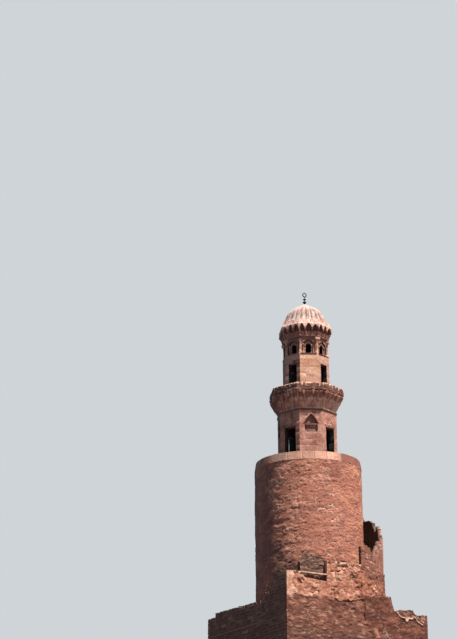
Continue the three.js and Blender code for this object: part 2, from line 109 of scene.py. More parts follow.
def stand_camera():
    data = bpy.data.cameras.new("camera")
    data.sensor_fit = "VERTICAL"
    data.sensor_height = SENSOR
    data.sensor_width = SENSOR
    data.lens = LENS
    data.clip_end = VIEW_DEPTH
    camera = bpy.data.objects.new("camera", data)
    camera.location = CAMERA_PLACE
    pan, lift, roll = (math.radians(angle) for angle in CAMERA_TURN)
    turned = Matrix.Rotation(pan, 3, "Z") @ Matrix.Rotation(lift, 3, "X") @ Matrix.Rotation(roll, 3, "Z")
    camera.rotation_euler = turned.to_euler()
    bpy.context.scene.collection.objects.link(camera)
    bpy.context.scene.camera = camera


def light_scene():
    sun = bpy.data.lights.new("sun", "SUN")
    sun.energy = SUN_POWER
    sun.angle = math.radians(SUN_WIDTH)
    sun.color = SUN_COLOUR
    lamp = bpy.data.objects.new("sun", sun)
    around, up = math.radians(SUN_AZIMUTH), math.radians(SUN_HEIGHT)
    toward_sun = Vector((math.sin(around) * math.cos(up), -math.cos(around) * math.cos(up), math.sin(up)))
    lamp.rotation_euler = toward_sun.to_track_quat("Z", "Y").to_euler()
    bpy.context.scene.collection.objects.link(lamp)

    world = bpy.data.worlds.new("studio")
    world.use_nodes = True
    world.node_tree.nodes.clear()
    tree = Tree(world.node_tree)
    direction = tree.add("TexCoord").outputs["Generated"]
    height = tree.ranged(tree.add("SeparateXYZ", {0: direction}).outputs["Z"], -0.3, 0.3)
    from_ground, from_sky = (0.36, 0.32, 0.32), (0.1, 0.118, 0.14)
    light = tree.mix(height, from_ground, from_sky)
    facing = tree.add("VectorMath", {0: direction, 1: SUNWARD}, operation="DOT_PRODUCT")
    shaded_side, sunlit_side = (0.62, 0.98, 1.22), (1.7, 1.5, 1.35)
    tint = tree.mix(tree.ranged(facing.outputs["Value"], -0.7, 0.8), shaded_side, sunlit_side)
    product = tree.add("VectorMath", {0: light, 1: tint}, operation="MULTIPLY")
    fill = tree.add("Background", {"Color": product.outputs[0]})
    backdrop = tree.add("Background", {"Color": BACKDROP})
    seen = tree.add("LightPath").outputs["Is Camera Ray"]
    surface = tree.add("MixShader", {0: seen, 1: fill.outputs[0], 2: backdrop.outputs[0]})
    tree.add("OutputWorld", {"Surface": surface.outputs[0]})
    bpy.context.scene.world = world
    bpy.context.scene.view_settings.view_transform = "Standard"


def lay_floor():
    mesh = bpy.data.meshes.new("floor")
    corners = [(x * FLOOR_REACH, y * FLOOR_REACH, 0) for x, y in ((-1, -1), (1, -1), (1, 1), (-1, 1))]
    mesh.from_pydata(corners, [], [(0, 1, 2, 3)])
    floor = bpy.data.objects.new("floor", mesh)
    bpy.context.scene.collection.objects.link(floor)
    material = bpy.data.materials.new("floor")
    material.use_nodes = True
    shader = material.node_tree.nodes["Principled BSDF"]
    shader.inputs["Base Color"].default_value = (0.3, 0.3, 0.295, 1)
    shader.inputs["Roughness"].default_value = 0.95
    mesh.materials.append(material)
    floor.visible_diffuse = False
    floor.visible_glossy = False


# Materials

class Tree:
    """A node tree built by short calls, whose inputs are other sockets, numbers or colours."""

    clamps_colours = False  # light may be brighter than 1

    def __init__(self, node_tree):
        self.nodes = node_tree.nodes
        self.links = node_tree.links

    def add(self, kind, inputs=None, **settings):
        node = self.nodes.new("ShaderNode" + kind)
        for key, value in settings.items():
            setattr(node, key, value)
        for key, value in (inputs or {}).items():
            socket = node.inputs[key]
            if isinstance(value, bpy.types.NodeSocket):
                self.links.new(value, socket)
            else:
                socket.default_value = (*value, 1) if socket.type == "RGBA" else value
        return node

    def ranged(self, value, low, high):
        return self.add("MapRange", {"Value": value, "From Min": low, "From Max": high}).outputs[0]

    def mix(self, factor, a, b, blend="MIX"):
        settings = {"data_type": "RGBA", "blend_type": blend, "clamp_result": self.clamps_colours}
        return self.add("Mix", {0: factor, 6: a, 7: b}, **settings).outputs[2]

    def math(self, operation, a, b):
        return self.add("Math", {0: a, 1: b}, operation=operation).outputs[0]

    def times(self, a, b):
        return self.math("MULTIPLY", a, b)


class Shading(Tree):
    """A material's node tree."""

    clamps_colours = True

    def __init__(self, name):
        self.material = bpy.data.materials.new(name)
        self.material.use_nodes = True
        super().__init__(self.material.node_tree)
        self.shader = self.nodes["Principled BSDF"]
        self.place = self.add("TexCoord").outputs["Object"]

    def stretched(self, sizes):
        return self.add("Mapping", {"Scale": sizes, "Vector": self.place}).outputs[0]

    def noise(self, scale, detail=4, roughness=0.55, place=None):
        values = {"Scale": scale, "Detail": detail, "Roughness": roughness}
        return self.add("TexNoise", {**values, "Vector": place or self.place}).outputs["Fac"]

    def cells(self, scale):
        return self.add("TexVoronoi", {"Scale": scale, "Vector": self.place}).outputs["Distance"]

    def ramp(self, value, stops):
        """stops are (position, colour or grey) pairs."""
        node = self.add("ValToRGB", {"Fac": value})
        elements = node.color_ramp.elements
        while len(elements) < len(stops):
            elements.new(0.5)
        for element, (position, colour) in zip(elements, stops):
            element.position = position
            element.color = (*colour, 1) if isinstance(colour, tuple) else (colour, colour, colour, 1)
        return node.outputs["Color"]

    def stone_layer(self):
        """The red, green, blue and alpha of a mesh's stone layer."""
        layer = self.add("Attribute", attribute_name="stone")
        split = self.add("SeparateColor", {0: layer.outputs["Color"]})
        return (*split.outputs, layer.outputs["Alpha"])

    def upward(self):
        """One on level tops, falling to nothing on upright faces."""
        geometry = self.add("NewGeometry")
        split = self.add("SeparateXYZ", {0: geometry.outputs["True Normal"]})
        return self.ramp(split.outputs["Z"], [(0.6, 0), (0.95, 1)])

    def finish(self, colour, roughness, height, strength, distance):
        bump = self.add("Bump", {"Strength": strength, "Distance": distance, "Height": height})
        self.links.new(bump.outputs[0], self.shader.inputs["Normal"])
        self.links.new(colour, self.shader.inputs["Base Color"])
        self.links.new(roughness, self.shader.inputs["Roughness"])
        return self.material


def stone_material(
    name, stones, mortar, stain=(0.6, 0.48, 0.42), stain_share=0.5, pits=0.5, relief=0.5,
    shade_on_top=0.5, runs=0.4, patchiness=1.3, coats=0.0,
):
    """Weathered masonry. The stone layer holds each stone's tint, joints, worn edges with painted
    highlights, and soot with painted shade.
    """
    s = Shading(name)
    tint, joint, edge, soot_and_shade = s.stone_layer()
    last = len(stones) - 1
    colour = s.ramp(tint, [(i / last, stone) for i, stone in enumerate(stones)])
    patches = s.ramp(s.noise(patchiness, 5, 0.62), [(0.42, 0), (0.62, 1)])
    colour = s.mix(s.times(patches, stain_share), colour, stain, "MULTIPLY")
    grain = s.noise(16, 6, 0.65)
    colour = s.mix(0.6, colour, s.ramp(grain, [(0.3, 0.62), (0.7, 1.0)]), "MULTIPLY")
    streaks = s.ramp(s.noise(1.0, 5, 0.6, s.stretched((9, 9, 0.7))), [(0.5, 0), (0.72, 1)])
    colour = s.mix(s.times(streaks, runs), colour, (0.42, 0.36, 0.33), "MULTIPLY")
    holes = s.ramp(s.cells(34), [(0.06, 1), (0.2, 0)])
    pitted = s.times(holes, s.ramp(s.noise(5, 3), [(0.5, 0), (0.6, 1)]))
    colour = s.mix(s.times(pitted, pits), colour, (0.22, 0.16, 0.13), "MULTIPLY")
    # The third value gives worn edges, and painted highlights on lit crests and edges
    colour = s.mix(s.times(edge, 0.16), colour, (0.85, 0.6, 0.46))
    if coats:
        # broken edges of thin coats of plaster: a painted highlight line over a painted shadow line
        depth = s.noise(2.1, 3, 0.5, s.stretched((1, 1, 1.9)))
        shown = s.ramp(s.noise(1.3, 3), [(0.52, 0), (0.58, coats)])
        pale = s.ramp(depth, [(0.482, 0), (0.49, 1), (0.504, 1), (0.512, 0)])
        dark = s.ramp(depth, [(0.508, 0), (0.52, 1), (0.56, 0)])
        colour = s.mix(s.times(dark, shown), colour, (0.5, 0.42, 0.38), "MULTIPLY")
        colour = s.mix(s.times(pale, shown), colour, (0.86, 0.63, 0.5))
    colour = s.mix(joint, colour, mortar)
    # The fourth value darkens toward near black: soot, and painted shade on unlit faces
    colour = s.mix(soot_and_shade, colour, (0.034, 0.038, 0.036))
    # Painted shade: level tops are darkened so that the strong sun does not wash them out
    colour = s.mix(s.times(s.upward(), shade_on_top), colour, (0.3, 0.3, 0.3), "MULTIPLY")

    waves = s.noise(1.0, 5, 0.6, s.stretched((5, 5, 7)))
    height = s.math("ADD", s.times(grain, 0.8), s.times(s.noise(95, 4, 0.7), 0.25))
    height = s.math("ADD", height, s.times(waves, 0.9))
    height = s.math("SUBTRACT", height, s.times(pitted, 0.6))
    s.shader.inputs["Specular IOR Level"].default_value = 0.2
    return s.finish(colour, s.ramp(s.noise(9, 4), [(0.3, 0.82), (0.7, 0.97)]), height, relief, 0.03)


def metal_material():
    s = Shading("dark_bronze")
    patina = s.ramp(s.noise(14, 4), [(0.35, (0.012, 0.012, 0.013)), (0.7, (0.05, 0.045, 0.038))])
    s.shader.inputs["Metallic"].default_value = 0.7
    return s.finish(patina, s.ramp(s.noise(20, 3), [(0.3, 0.42), (0.7, 0.62)]), s.noise(60, 4), 0.2, 0.004)


# Each kind of stone has its colours from dark to pale, its mortar, and a stain if it has its own
MATERIALS = {
    "ashlar": stone_material(
        "ashlar", [(0.18, 0.062, 0.042), (0.42, 0.175, 0.115), (0.58, 0.3, 0.21), (0.82, 0.56, 0.44)],
        (0.2, 0.08, 0.055), (0.62, 0.46, 0.4), relief=0.8, pits=0.8, coats=0.42,
    ),
    "storey": stone_material(
        "storey_masonry",
        [(0.17, 0.085, 0.066), (0.21, 0.105, 0.082), (0.25, 0.125, 0.1), (0.4, 0.22, 0.17)],
        (0.15, 0.075, 0.06), (0.7, 0.62, 0.6), relief=0.8, pits=0.7,
    ),
    "steps": stone_material(
        "stair_stone", [(0.3, 0.16, 0.11), (0.38, 0.21, 0.15), (0.44, 0.25, 0.18)],
        (0.2, 0.1, 0.07), shade_on_top=0.25,
    ),
    "round": stone_material(
        "round_masonry", [(0.3, 0.14, 0.11), (0.47, 0.205, 0.15), (0.58, 0.275, 0.19), (0.72, 0.4, 0.24)],
        (0.4, 0.175, 0.125), (0.8, 0.7, 0.68),
        stain_share=0.6, pits=0.35, relief=0.9, runs=0.2, patchiness=0.9, coats=0.65,
    ),
    "coping": stone_material(
        "pale_coping", [(0.27, 0.125, 0.1), (0.44, 0.3, 0.25), (0.64, 0.375, 0.29), (0.76, 0.51, 0.4)],
        (0.26, 0.11, 0.08), (0.8, 0.68, 0.62), shade_on_top=0.4, patchiness=3,
    ),
    "peach": stone_material(
        "peach_stone", [(0.24, 0.13, 0.11), (0.48, 0.27, 0.22), (0.64, 0.375, 0.31), (0.82, 0.54, 0.46)],
        (0.3, 0.15, 0.11), (0.6, 0.44, 0.4), stain_share=0.9, patchiness=4.5, relief=0.7,
    ),
    "panel": stone_material(
        "lantern_stone", [(0.26, 0.15, 0.135), (0.55, 0.36, 0.33), (0.68, 0.43, 0.34), (0.84, 0.58, 0.45)],
        (0.5, 0.3, 0.2), (0.82, 0.6, 0.34), stain_share=0.75, patchiness=6, runs=0.15,
    ),
    "cornice": stone_material(
        "cornice_stone", [(0.2, 0.1, 0.082), (0.34, 0.17, 0.14), (0.46, 0.25, 0.21), (0.8, 0.6, 0.53)],
        (0.14, 0.06, 0.045), (0.7, 0.58, 0.55), runs=0.6,
    ),
    "balcony": stone_material(
        "balcony_stone", [(0.17, 0.09, 0.072), (0.46, 0.215, 0.17), (0.68, 0.37, 0.29), (0.85, 0.66, 0.58)],
        (0.2, 0.1, 0.08), (0.75, 0.62, 0.56), runs=0.7,
    ),
    "dome": stone_material(
        "dome_plaster", [(0.36, 0.21, 0.18), (0.49, 0.39, 0.355), (0.57, 0.54, 0.52)],
        (0.24, 0.12, 0.1), (0.85, 0.66, 0.6), shade_on_top=0, runs=0.3, patchiness=3,
    ),
    "rubble": stone_material(
        "dark_rubble", [(0.16, 0.09, 0.07), (0.22, 0.13, 0.1), (0.28, 0.18, 0.14), (0.34, 0.24, 0.19)],
        (0.12, 0.07, 0.055), (0.6, 0.5, 0.46), relief=0.9, coats=0.3,
    ),
    "spiral": stone_material(
        "spiral_plaster", [(0.4, 0.17, 0.12), (0.52, 0.25, 0.19), (0.62, 0.33, 0.27), (0.74, 0.5, 0.44)],
        (0.3, 0.13, 0.1), (0.72, 0.62, 0.56), runs=0.5, relief=0.6,
    ),
    "bronze": metal_material(),
}


# Cutting a node into stones

TOP_COURSE = 42  # no wall is as high
COARSENING = 12  # height in which stones get larger by their own size


class Laying:
    """How a wall's stones are laid. Lengths are real metres."""

    def __init__(
        self, course, length, joint, bevel, proud, uneven, wobble, rough, lost, seed,
        coarse_below=0, varied=0.26,
    ):
        self.length = length
        self.thinnest = scaled(course[0]) * 0.45
        self.joint, self.bevel, self.proud = scaled(joint), scaled(bevel), scaled(proud)
        self.uneven, self.wobble, self.rough = scaled(uneven), scaled(wobble), scaled(rough)
        self.lost = lost
        self.seed = seed
        self.coarse_below = coarse_below
        self.varied = varied
        rng = random.Random(f"courses {seed}")
        self.lines = []
        z = 0
        while z < TOP_COURSE:
            z += rng.uniform(*course) * self.growth(z)
            self.lines.append(scaled(z))

    def growth(self, z):
        """Stones get larger toward the ground."""
        return 1 + max(0, self.coarse_below - z) / COARSENING


# Ranges of course height and stone length, then the values in the order that Laying takes them
LAYINGS = {
    "storey": Laying((0.14, 0.22), (0.2, 0.6), 0.024, 0.04, 0.028, 0.016, 0.024, 0.018, 0.06, 1, 17),
    "walls": Laying((0.24, 0.34), (0.35, 0.75), 0.022, 0.035, 0.022, 0.01, 0.016, 0.01, 0.03, 8, 14),
    "coping": Laying((0.45, 0.45), (0.65, 1.2), 0.03, 0.03, 0.02, 0.006, 0.008, 0.006, 0, 3),
    "fine": Laying((0.3, 0.42), (0.35, 0.7), 0.006, 0.012, 0.004, 0.003, 0.02, 0.006, 0.01, 4, varied=0.08),
    "panel": Laying((0.4, 0.55), (0.5, 0.9), 0.003, 0.014, 0.003, 0.003, 0.02, 0.006, 0, 9, varied=0.07),
    "steps": Laying((9.0, 9.0), (0.7, 1.3), 0.012, 0.02, 0.01, 0.004, 0.004, 0, 0, 6),
}


WELDED, TOUCHING, CLEAR = 2e-5, 1e-5, 1e-4  # small distances, in the model's metres
FLAT = 0.3  # degrees between faces that count as one


def faces_with_rims(faces):
    """Faces with their edges and corners, in the same order each run, which a set wouldn't keep."""
    edges = dict.fromkeys(edge for face in faces for edge in face.edges)
    verts = dict.fromkeys(vert for face in faces for vert in face.verts)
    return [*faces, *edges, *verts]


def cut(bm, faces, point, normal):
    """Cuts some faces by a plane, and gives them back with the new ones."""
    rims = faces_with_rims(faces)
    made = bmesh.ops.bisect_plane(bm, geom=rims, plane_co=point, plane_no=normal, dist=TOUCHING)
    return [item for item in made["geom"] if isinstance(item, bmesh.types.BMFace)]


def cut_some(bm, faces, reaches, point, normal):
    """Cuts only the faces that a test picks, and gives all of them back."""
    near = [face for face in faces if reaches(face)]
    rest = [face for face in faces if not reaches(face)]
    return rest + cut(bm, near, point, normal) if near else faces


class StraightRun:
    """Upright joints square to a straight wall."""

    def __init__(self, normal):
        turn = round(math.degrees(math.atan2(normal.y, normal.x))) % 180
        self.key = f"wall {turn}"
        self.along = Vector((-math.sin(math.radians(turn)), math.cos(math.radians(turn)), 0))

    def place(self, point):
        return point.dot(self.along)

    def cut(self, bm, faces, place):
        def reaches(face):
            places = [self.place(vert.co) for vert in face.verts]
            return min(places) < place - CLEAR and max(places) > place + CLEAR

        return cut_some(bm, faces, reaches, self.along * place, self.along)


class RoundRun:
    """Upright joints that point at the drum's axis."""

    def __init__(self, radius):
        self.key = "round"
        self.radius = radius

    def place(self, point):
        return math.radians(azimuth_of(point.x, point.y)) * self.radius

    def cut(self, bm, faces, place):
        radial, tangent = directions(math.degrees(place / self.radius))

        def reaches(face):
            sides = [(vert.co - AXIS).dot(tangent) for vert in face.verts]
            ahead = (face.calc_center_median() - AXIS).dot(radial) > 0
            return ahead and min(sides) < -CLEAR and max(sides) > CLEAR

        return cut_some(bm, faces, reaches, AXIS, tangent)


def run_of(face, box, is_round):
    """The run that a face's upright joints belong to, or None where it has none."""
    low, high = box
    is_level = abs(face.normal.z) > 0.6
    if is_round:
        if is_level or abs(face.normal.dot(outward(face.calc_center_median()))) > 0.8:
            return RoundRun(max(high.x - AXIS_X, AXIS_X - low.x))
        return None
    if is_level:
        along_x = high.x - low.x > high.y - low.y
        return StraightRun(Vector((0, 1, 0)) if along_x else Vector((1, 0, 0)))
    return StraightRun(face.normal)


def joints_between(places, laying, growth, rng):
    """Joint places between two ends, with no sliver at either."""
    shortest, longest = (scaled(length) * growth for length in laying.length)
    joints = []
    place = min(places) + rng.uniform(0.4, 1.0) * longest
    while place < max(places) - shortest * 0.55:
        joints.append(place)
        place += rng.uniform(shortest, longest)
    return joints


def components(bm):
    """Groups of joined faces."""
    found = []
    seen = set()
    for start in bm.faces:
        if start in seen:
            continue
        seen.add(start)
        group = [start]
        for face in group:
            for edge in face.edges:
                for other in edge.link_faces:
                    if other not in seen:
                        seen.add(other)
                        group.append(other)
        found.append(group)
    return found


def slimness(group):
    """Roughly the smallest width of a group of faces."""
    area = sum(face.calc_area() for face in group)
    points = [vert.co for face in group for vert in face.verts]
    spans = [max(p[i] for p in points) - min(p[i] for p in points) for i in range(3)]
    return area / max(max(spans), 1e-6)


def node_shape(name):
    """A node's shape, built face by face, so that its edges keep their order with any number of threads."""
    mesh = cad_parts[name].data
    bm = bmesh.new()
    verts = [bm.verts.new(vert.co) for vert in mesh.vertices]
    for polygon in mesh.polygons:
        bm.faces.new([verts[i] for i in polygon.vertices])
    bm.normal_update()
    return bm


def cut_into_stones(name, laying, is_round=False):
    """A mesh of the node's shape, cut into separate stones."""
    box = low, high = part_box(name)
    bm = node_shape(name)
    bmesh.ops.remove_doubles(bm, verts=bm.verts, dist=WELDED)
    bmesh.ops.dissolve_limit(bm, angle_limit=math.radians(FLAT), verts=bm.verts, edges=bm.edges)
    lines = [z for z in laying.lines if low.z + laying.thinnest < z < high.z - laying.thinnest]
    for z in lines:
        cut(bm, bm.faces[:], Vector((0, 0, z)), Vector((0, 0, 1)))

    def band_of(face):
        height = face.calc_center_median().z
        return sum(1 for z in lines if z < height)

    band_runs = {}
    for face in bm.faces:
        run = run_of(face, box, is_round)
        if run is not None:
            band_runs.setdefault((band_of(face), run.key), (run, []))[1].append(face)

    stone_of = {}
    for (band, key), (run, faces) in sorted(band_runs.items(), key=lambda item: item[0]):
        rng = random.Random(f"{laying.seed} {band + round(low.z * 7)} {key}")
        places = [run.place(vert.co) for face in faces for vert in face.verts]
        growth = laying.growth(faces[0].calc_center_median().z / SCALE)
        joints = joints_between(places, laying, growth, rng)
        for place in joints:
            faces = run.cut(bm, faces, place)
        for face in faces:
            middle = run.place(face.calc_center_median())
            stone_of[face] = (key, band, sum(1 for place in joints if place < middle))

    def is_joint(edge):
        if len(edge.link_faces) != 2:
            return False
        a, b = edge.link_faces
        if band_of(a) != band_of(b):
            return True
        stone_a, stone_b = stone_of.get(a), stone_of.get(b)
        return bool(stone_a and stone_b and stone_a[0] == stone_b[0] and stone_a != stone_b)

    bmesh.ops.split_edges(bm, edges=[edge for edge in bm.edges if is_joint(edge)])
    return bm


def wobbled(point, amount):
    """Shifts a point by a smooth random amount, the same for all stones that meet there."""
    return point + noise.noise_vector(point / scaled(0.35)) * amount


FRONT, JOINT, BEVEL = 0, 1, 2  # parts of a stone, marked by a material index while it is made
WHOLE, NARROW = 1.0, 0.4  # shares of the joint and the bevel that wide and slim stones get
SHARP_STONE, SHARP_SKIN, SHARP_WALL = 14, 38, 50  # degrees from which an edge is drawn sharp


def raise_stones(bm, laying, name, inside=None, tone=None):
    """Gives each stone a sunk joint and a chamfered, uneven face, and its layer.

    inside(face) tells which inner, unlit faces get painted shade, and tone(x, y, z) how much
    lighter the stones of a place are, and how much soot and painted shade they get."""
    rng = random.Random(f"stones {name}")
    if laying.wobble:
        for vert in bm.verts:
            if vert.co.z > 0.01:
                vert.co = wobbled(vert.co, laying.wobble)
    groups = {WHOLE: [], NARROW: []}
    for group in components(bm):
        width = slimness(group)
        if width > 4 * (laying.joint + laying.bevel):
            groups[WHOLE].append(group)
        elif width > laying.joint + laying.bevel:
            groups[NARROW].append(group)
    for face in bm.faces:
        face.material_index = FRONT
    for share, stones in groups.items():
        faces = [face for group in stones for face in group]
        if not faces:
            continue
        for index, width, depth in ((JOINT, laying.joint / 2, 0), (BEVEL, laying.bevel, laying.proud)):
            rim = bmesh.ops.inset_region(
                bm, faces=faces, thickness=width * share, depth=depth * share,
                use_boundary=True, use_even_offset=False,
            )
            for face in rim["faces"]:
                face.material_index = index
        for group in stones:
            shift_stone(group, laying, share, rng)

    layer = bm.loops.layers.float_color.new("stone")
    for group in components(bm):
        own = rng.gauss(0.5, laying.varied)
        for face in group:
            shift, dark = tone(*(face.calc_center_median() / SCALE)) if tone else (0, 0)
            joint = 1.0 if face.material_index == JOINT else 0.0
            edge = 1.0 if face.material_index == BEVEL else 0.0
            # Inner faces get full painted shade; elsewhere the tone gives soot and painted shade
            soot_and_shade = 1.0 if inside and inside(face) else dark
            for loop in face.loops:
                loop[layer] = (clamped(own + shift), joint, edge, soot_and_shade)
            face.smooth = True
    if laying.rough:
        fronts = [face for face in bm.faces if face.material_index == FRONT]
        poked = bmesh.ops.poke(bm, faces=fronts)
        for vert in poked["verts"]:
            vert.co += vert.normal * rng.gauss(laying.rough * 0.3, laying.rough)
    for face in bm.faces:
        face.material_index = 0
    for vert in bm.verts:
        vert.co.z = max(vert.co.z, 0)


def shift_stone(group, laying, share, rng):
    """Lifts and tilts a stone by a little, or sinks one that has lost its face."""
    normal = sum((face.normal * face.calc_area() for face in group), Vector())
    normal.normalize()
    verts = dict.fromkeys(vert for face in group for vert in face.verts)
    middle = sum((vert.co for vert in verts), Vector()) / len(verts)
    reach = max((vert.co - middle).length for vert in verts)
    lift = rng.gauss(0, laying.uneven) * share
    if rng.random() < laying.lost:
        lift -= laying.uneven * 3
    lift = min(max(lift, -laying.proud * 1.6 * share - laying.uneven), laying.uneven * 2)
    slope = laying.uneven * 0.5 * share / reach
    tilt = Vector((rng.gauss(0, 1), rng.gauss(0, 1), rng.gauss(0, 1))) * slope
    wraps = any(face.normal.dot(normal) < 0.8 for face in group)
    if wraps:
        lift, tilt = min(lift, 0) * 0.3, tilt * 0.2
    for vert in verts:
        vert.co += normal * (lift + (vert.co - middle).dot(tilt))


def place_piece(name, mesh, material, node):
    mesh.materials.append(MATERIALS[material])
    piece = bpy.data.objects.new(name, mesh)
    bpy.context.scene.collection.objects.link(piece)
    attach(piece, "root")
    if node:
        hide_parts(node)


def dress(node, laying, material, is_round=False, inside=None, reshape=None, tone=None):
    bm = cut_into_stones(node, LAYINGS[laying], is_round)
    if reshape:
        for vert in bm.verts:
            vert.co = reshape(vert.co)
    raise_stones(bm, LAYINGS[laying], node, inside, tone)
    mesh = bpy.data.meshes.new(f"{node}_stones")
    bm.to_mesh(mesh)
    bm.free()
    mesh.set_sharp_from_angle(angle=math.radians(SHARP_STONE))
    place_piece(f"{node}_stones", mesh, material, node)


# Tones and small changes of the stones of a node

OCTAGON_TURN = -2  # degrees that the octagons are turned
HALF_SIDE = math.tan(math.radians(22.5))  # half a side for an apothem of one
APOTHEM = math.cos(math.radians(22.5))  # apothem for a circumradius of one
OCTAGON = 1.806 * APOTHEM  # to the faces of the lower octagon
LANTERN = 1.434 * APOTHEM
COPING_LOW, COPING_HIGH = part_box("rim_coping")
FRONT_SKIN_BOTTOM = 17.9


def under_roof(face):
    """True for the inside of the octagonal rooms and the reveals of their doors."""
    return face.normal.dot(outward(face.calc_center_median())) < 0.3 and abs(face.normal.z) < 0.9


def lean_coping(point):
    """Slopes the coping's outer face back, so it sheds rain."""
    offset = Vector((point.x - AXIS_X, point.y - AXIS_Y, 0))
    if offset.length < COPING_HIGH.x - AXIS_X - scaled(0.2):
        return point
    share = (point.z - COPING_LOW.z) / (COPING_HIGH.z - COPING_LOW.z)
    return point - offset.normalized() * scaled(0.03 + 0.07 * share)


def sink_front(point):
    """Sinks the front stones that the rougher skin of the storey's top covers."""
    if point.y < scaled(-4.29) and point.z > scaled(FRONT_SKIN_BOTTOM):
        return point + Vector((0, scaled(0.1), 0))
    return point


def coping_tone(x, y, z):
    """The coping is palest on the left of the front, and red on the right."""
    azimuth = azimuth_of(x * SCALE, y * SCALE)
    return 0.22 * eased(azimuth, -60, -42) - 0.75 * eased(azimuth, -12, 12) - 0.12, 0


def face_distance(x, y):
    """How far out a point is along the nearest face of an octagon, in real metres."""
    turn = (azimuth_of(x * SCALE, y * SCALE) - OCTAGON_TURN) % 45 - 22.5
    return math.hypot(x - REAL_AXIS, y) * math.cos(math.radians(turn))


def lantern_tone(x, y, z):
    """Clean plaster on the faces just left of the front, brown stone elsewhere."""
    azimuth = azimuth_of(x * SCALE, y * SCALE)
    wall = eased(face_distance(x, y), LANTERN - 0.06, LANTERN - 0.02)
    clean = eased(azimuth, -49, -44) * eased(azimuth, 2, -3) * wall
    beside = eased(azimuth, 2, 10) * eased(azimuth, 60, 50) * wall
    left = eased(azimuth, -44, -50) * eased(azimuth, -175, -160)
    strip = eased(azimuth, -61, -56) * eased(azimuth, -42, -48)
    other = 0.05 * beside - 0.04 * left - 0.24 * strip - 0.2 - 0.14 * (1 - wall)
    return 0.2 * clean + other * (1 - clean), 0


def octagon_tone(x, y, z):
    """Painted shade darkens the niches and the shaded left faces of the lower octagon, and its head is pale.
    """
    depth = OCTAGON - face_distance(x, y)
    niche = eased(depth, 0.02, 0.06) * eased(z, 30.8, 31)
    azimuth = azimuth_of(x * SCALE, y * SCALE)
    left = eased(azimuth, -44, -50) * eased(azimuth, -175, -160)
    right = eased(azimuth, -16, -12) * eased(azimuth, 3, -2)
    # Painted shade in the niches and on the left faces
    shift = -0.04 + 0.06 * right - 0.18 * left - 0.1 * niche + 0.1 * eased(z, 32.5, 32.85)
    return shift, 0.4 * niche


def storey_tone(x, y, z):
    """The stones of the front left corner are pale, and the top is dark."""
    quoins = 0.5 * eased(x, -4.45, -4.6) * eased(y, -3.9, -4.2)
    return quoins - 0.1 * eased(z, 16, 19), 0


# Skins swept round the drum's axis

DARK = (0.2, 0, 0, 1)  # the stone layer of what isn't lit


def ruffle(x, y, z, size, seed=0):
    return noise.noise(Vector((x / size + seed * 7.3, y / size, z / size)))


def fine_line(points, step):
    """Points along a line, no further apart than a step."""
    line = [points[0]]
    for (r0, z0), (r1, z1) in zip(points, points[1:]):
        count = max(1, math.ceil(math.hypot(r1 - r0, z1 - z0) / step))
        line += [(r0 + (r1 - r0) * i / count, z0 + (z1 - z0) * i / count) for i in range(1, count + 1)]
    return line


def smooth_line(points, steps):
    """A curve through the points."""
    padded = [points[0], *points, points[-1]]
    curve = []
    for corners in zip(padded, padded[1:], padded[2:], padded[3:]):
        for i in range(steps):
            t = i / steps
            weights = (
                -0.5 * t + t * t - 0.5 * t**3,
                1 - 2.5 * t * t + 1.5 * t**3,
                0.5 * t + 2 * t * t - 1.5 * t**3,
                -0.5 * t * t + 0.5 * t**3,
            )
            curve.append(tuple(sum(w * p[k] for w, p in zip(weights, corners)) for k in (0, 1)))
    return [*curve, points[-1]]


def ring_place(sides, side, across, apothem, z):
    if sides == 1:
        return polar(scaled(apothem), 360 * across, scaled(z))
    turn = math.radians(face_azimuth(side))
    out, along = scaled(apothem), scaled(apothem) * HALF_SIDE * (2 * across - 1)
    x = AXIS_X + math.sin(turn) * out + math.cos(turn) * along
    y = AXIS_Y - math.cos(turn) * out + math.sin(turn) * along
    return Vector((x, y, scaled(z)))


def swept_ring(name, profile, columns, carve, material, node, sides=8):
    """A closed skin. profile runs up the outside and down the inside, as apothem and height.

    carve(side, across, apothem, z) tells how far a point is pushed in, and its stone layer."""
    points, marks = [], []
    for station in range(sides * columns):
        side, step = divmod(station, columns)
        for apothem, z in profile:
            push, mark = carve(side, step / columns, apothem, z)
            points.append(ring_place(sides, side, step / columns, apothem - push, z))
            marks.append(mark)
    skin(name, points, strips(sides * columns, sides * columns, len(profile)), marks, material, node)


def strips(columns, stations, ring):
    """Faces between the neighbouring closed rings of a skin."""
    faces = []
    for i in range(columns):
        here, there = i * ring, (i + 1) % stations * ring
        for j in range(ring):
            above = (j + 1) % ring
            faces.append((here + j, there + j, there + above, here + above))
    return faces


def skin(name, points, faces, marks, material, node=None, sharp=SHARP_SKIN):
    mesh = bpy.data.meshes.new(name)
    mesh.from_pydata(points, [], faces)
    layer = mesh.attributes.new("stone", "FLOAT_COLOR", "POINT")
    layer.data.foreach_set("color", [value for mark in marks for value in mark])
    mesh.polygons.foreach_set("use_smooth", [True] * len(mesh.polygons))
    mesh.set_sharp_from_angle(angle=math.radians(sharp))
    place_piece(name, mesh, material, node)


def pointed(u, z, half, foot, spring, apex, soft=0.025):
    """How far inside a pointed niche a point is: 0 outside, 1 well inside."""
    if z <= foot or z >= apex:
        return 0
    width = half
    if z > spring:
        width *= 1 - ((z - spring) / (apex - spring)) ** 1.6
    return eased(min(width - abs(u), (z - foot) + soft / 2), 0, soft)


# The dome and its cornice

DOME_FOOT = 38.945
DOME_OUTLINE = [
    (1.368, DOME_FOOT), (1.29, 39.08), (1.17, 39.41), (1.033, 39.7), (0.826, 39.89), (0.535, 40.07),
    (0.27, 40.2), (0.0, 40.36),
]
RIBS = 24
CORNICE = 1.645 * APOTHEM
CORNICE_INNER = 1.134 * APOTHEM
CORNICE_LOW, CORNICE_HIGH = 38.25, 38.6
NICHES_PER_SIDE = 3


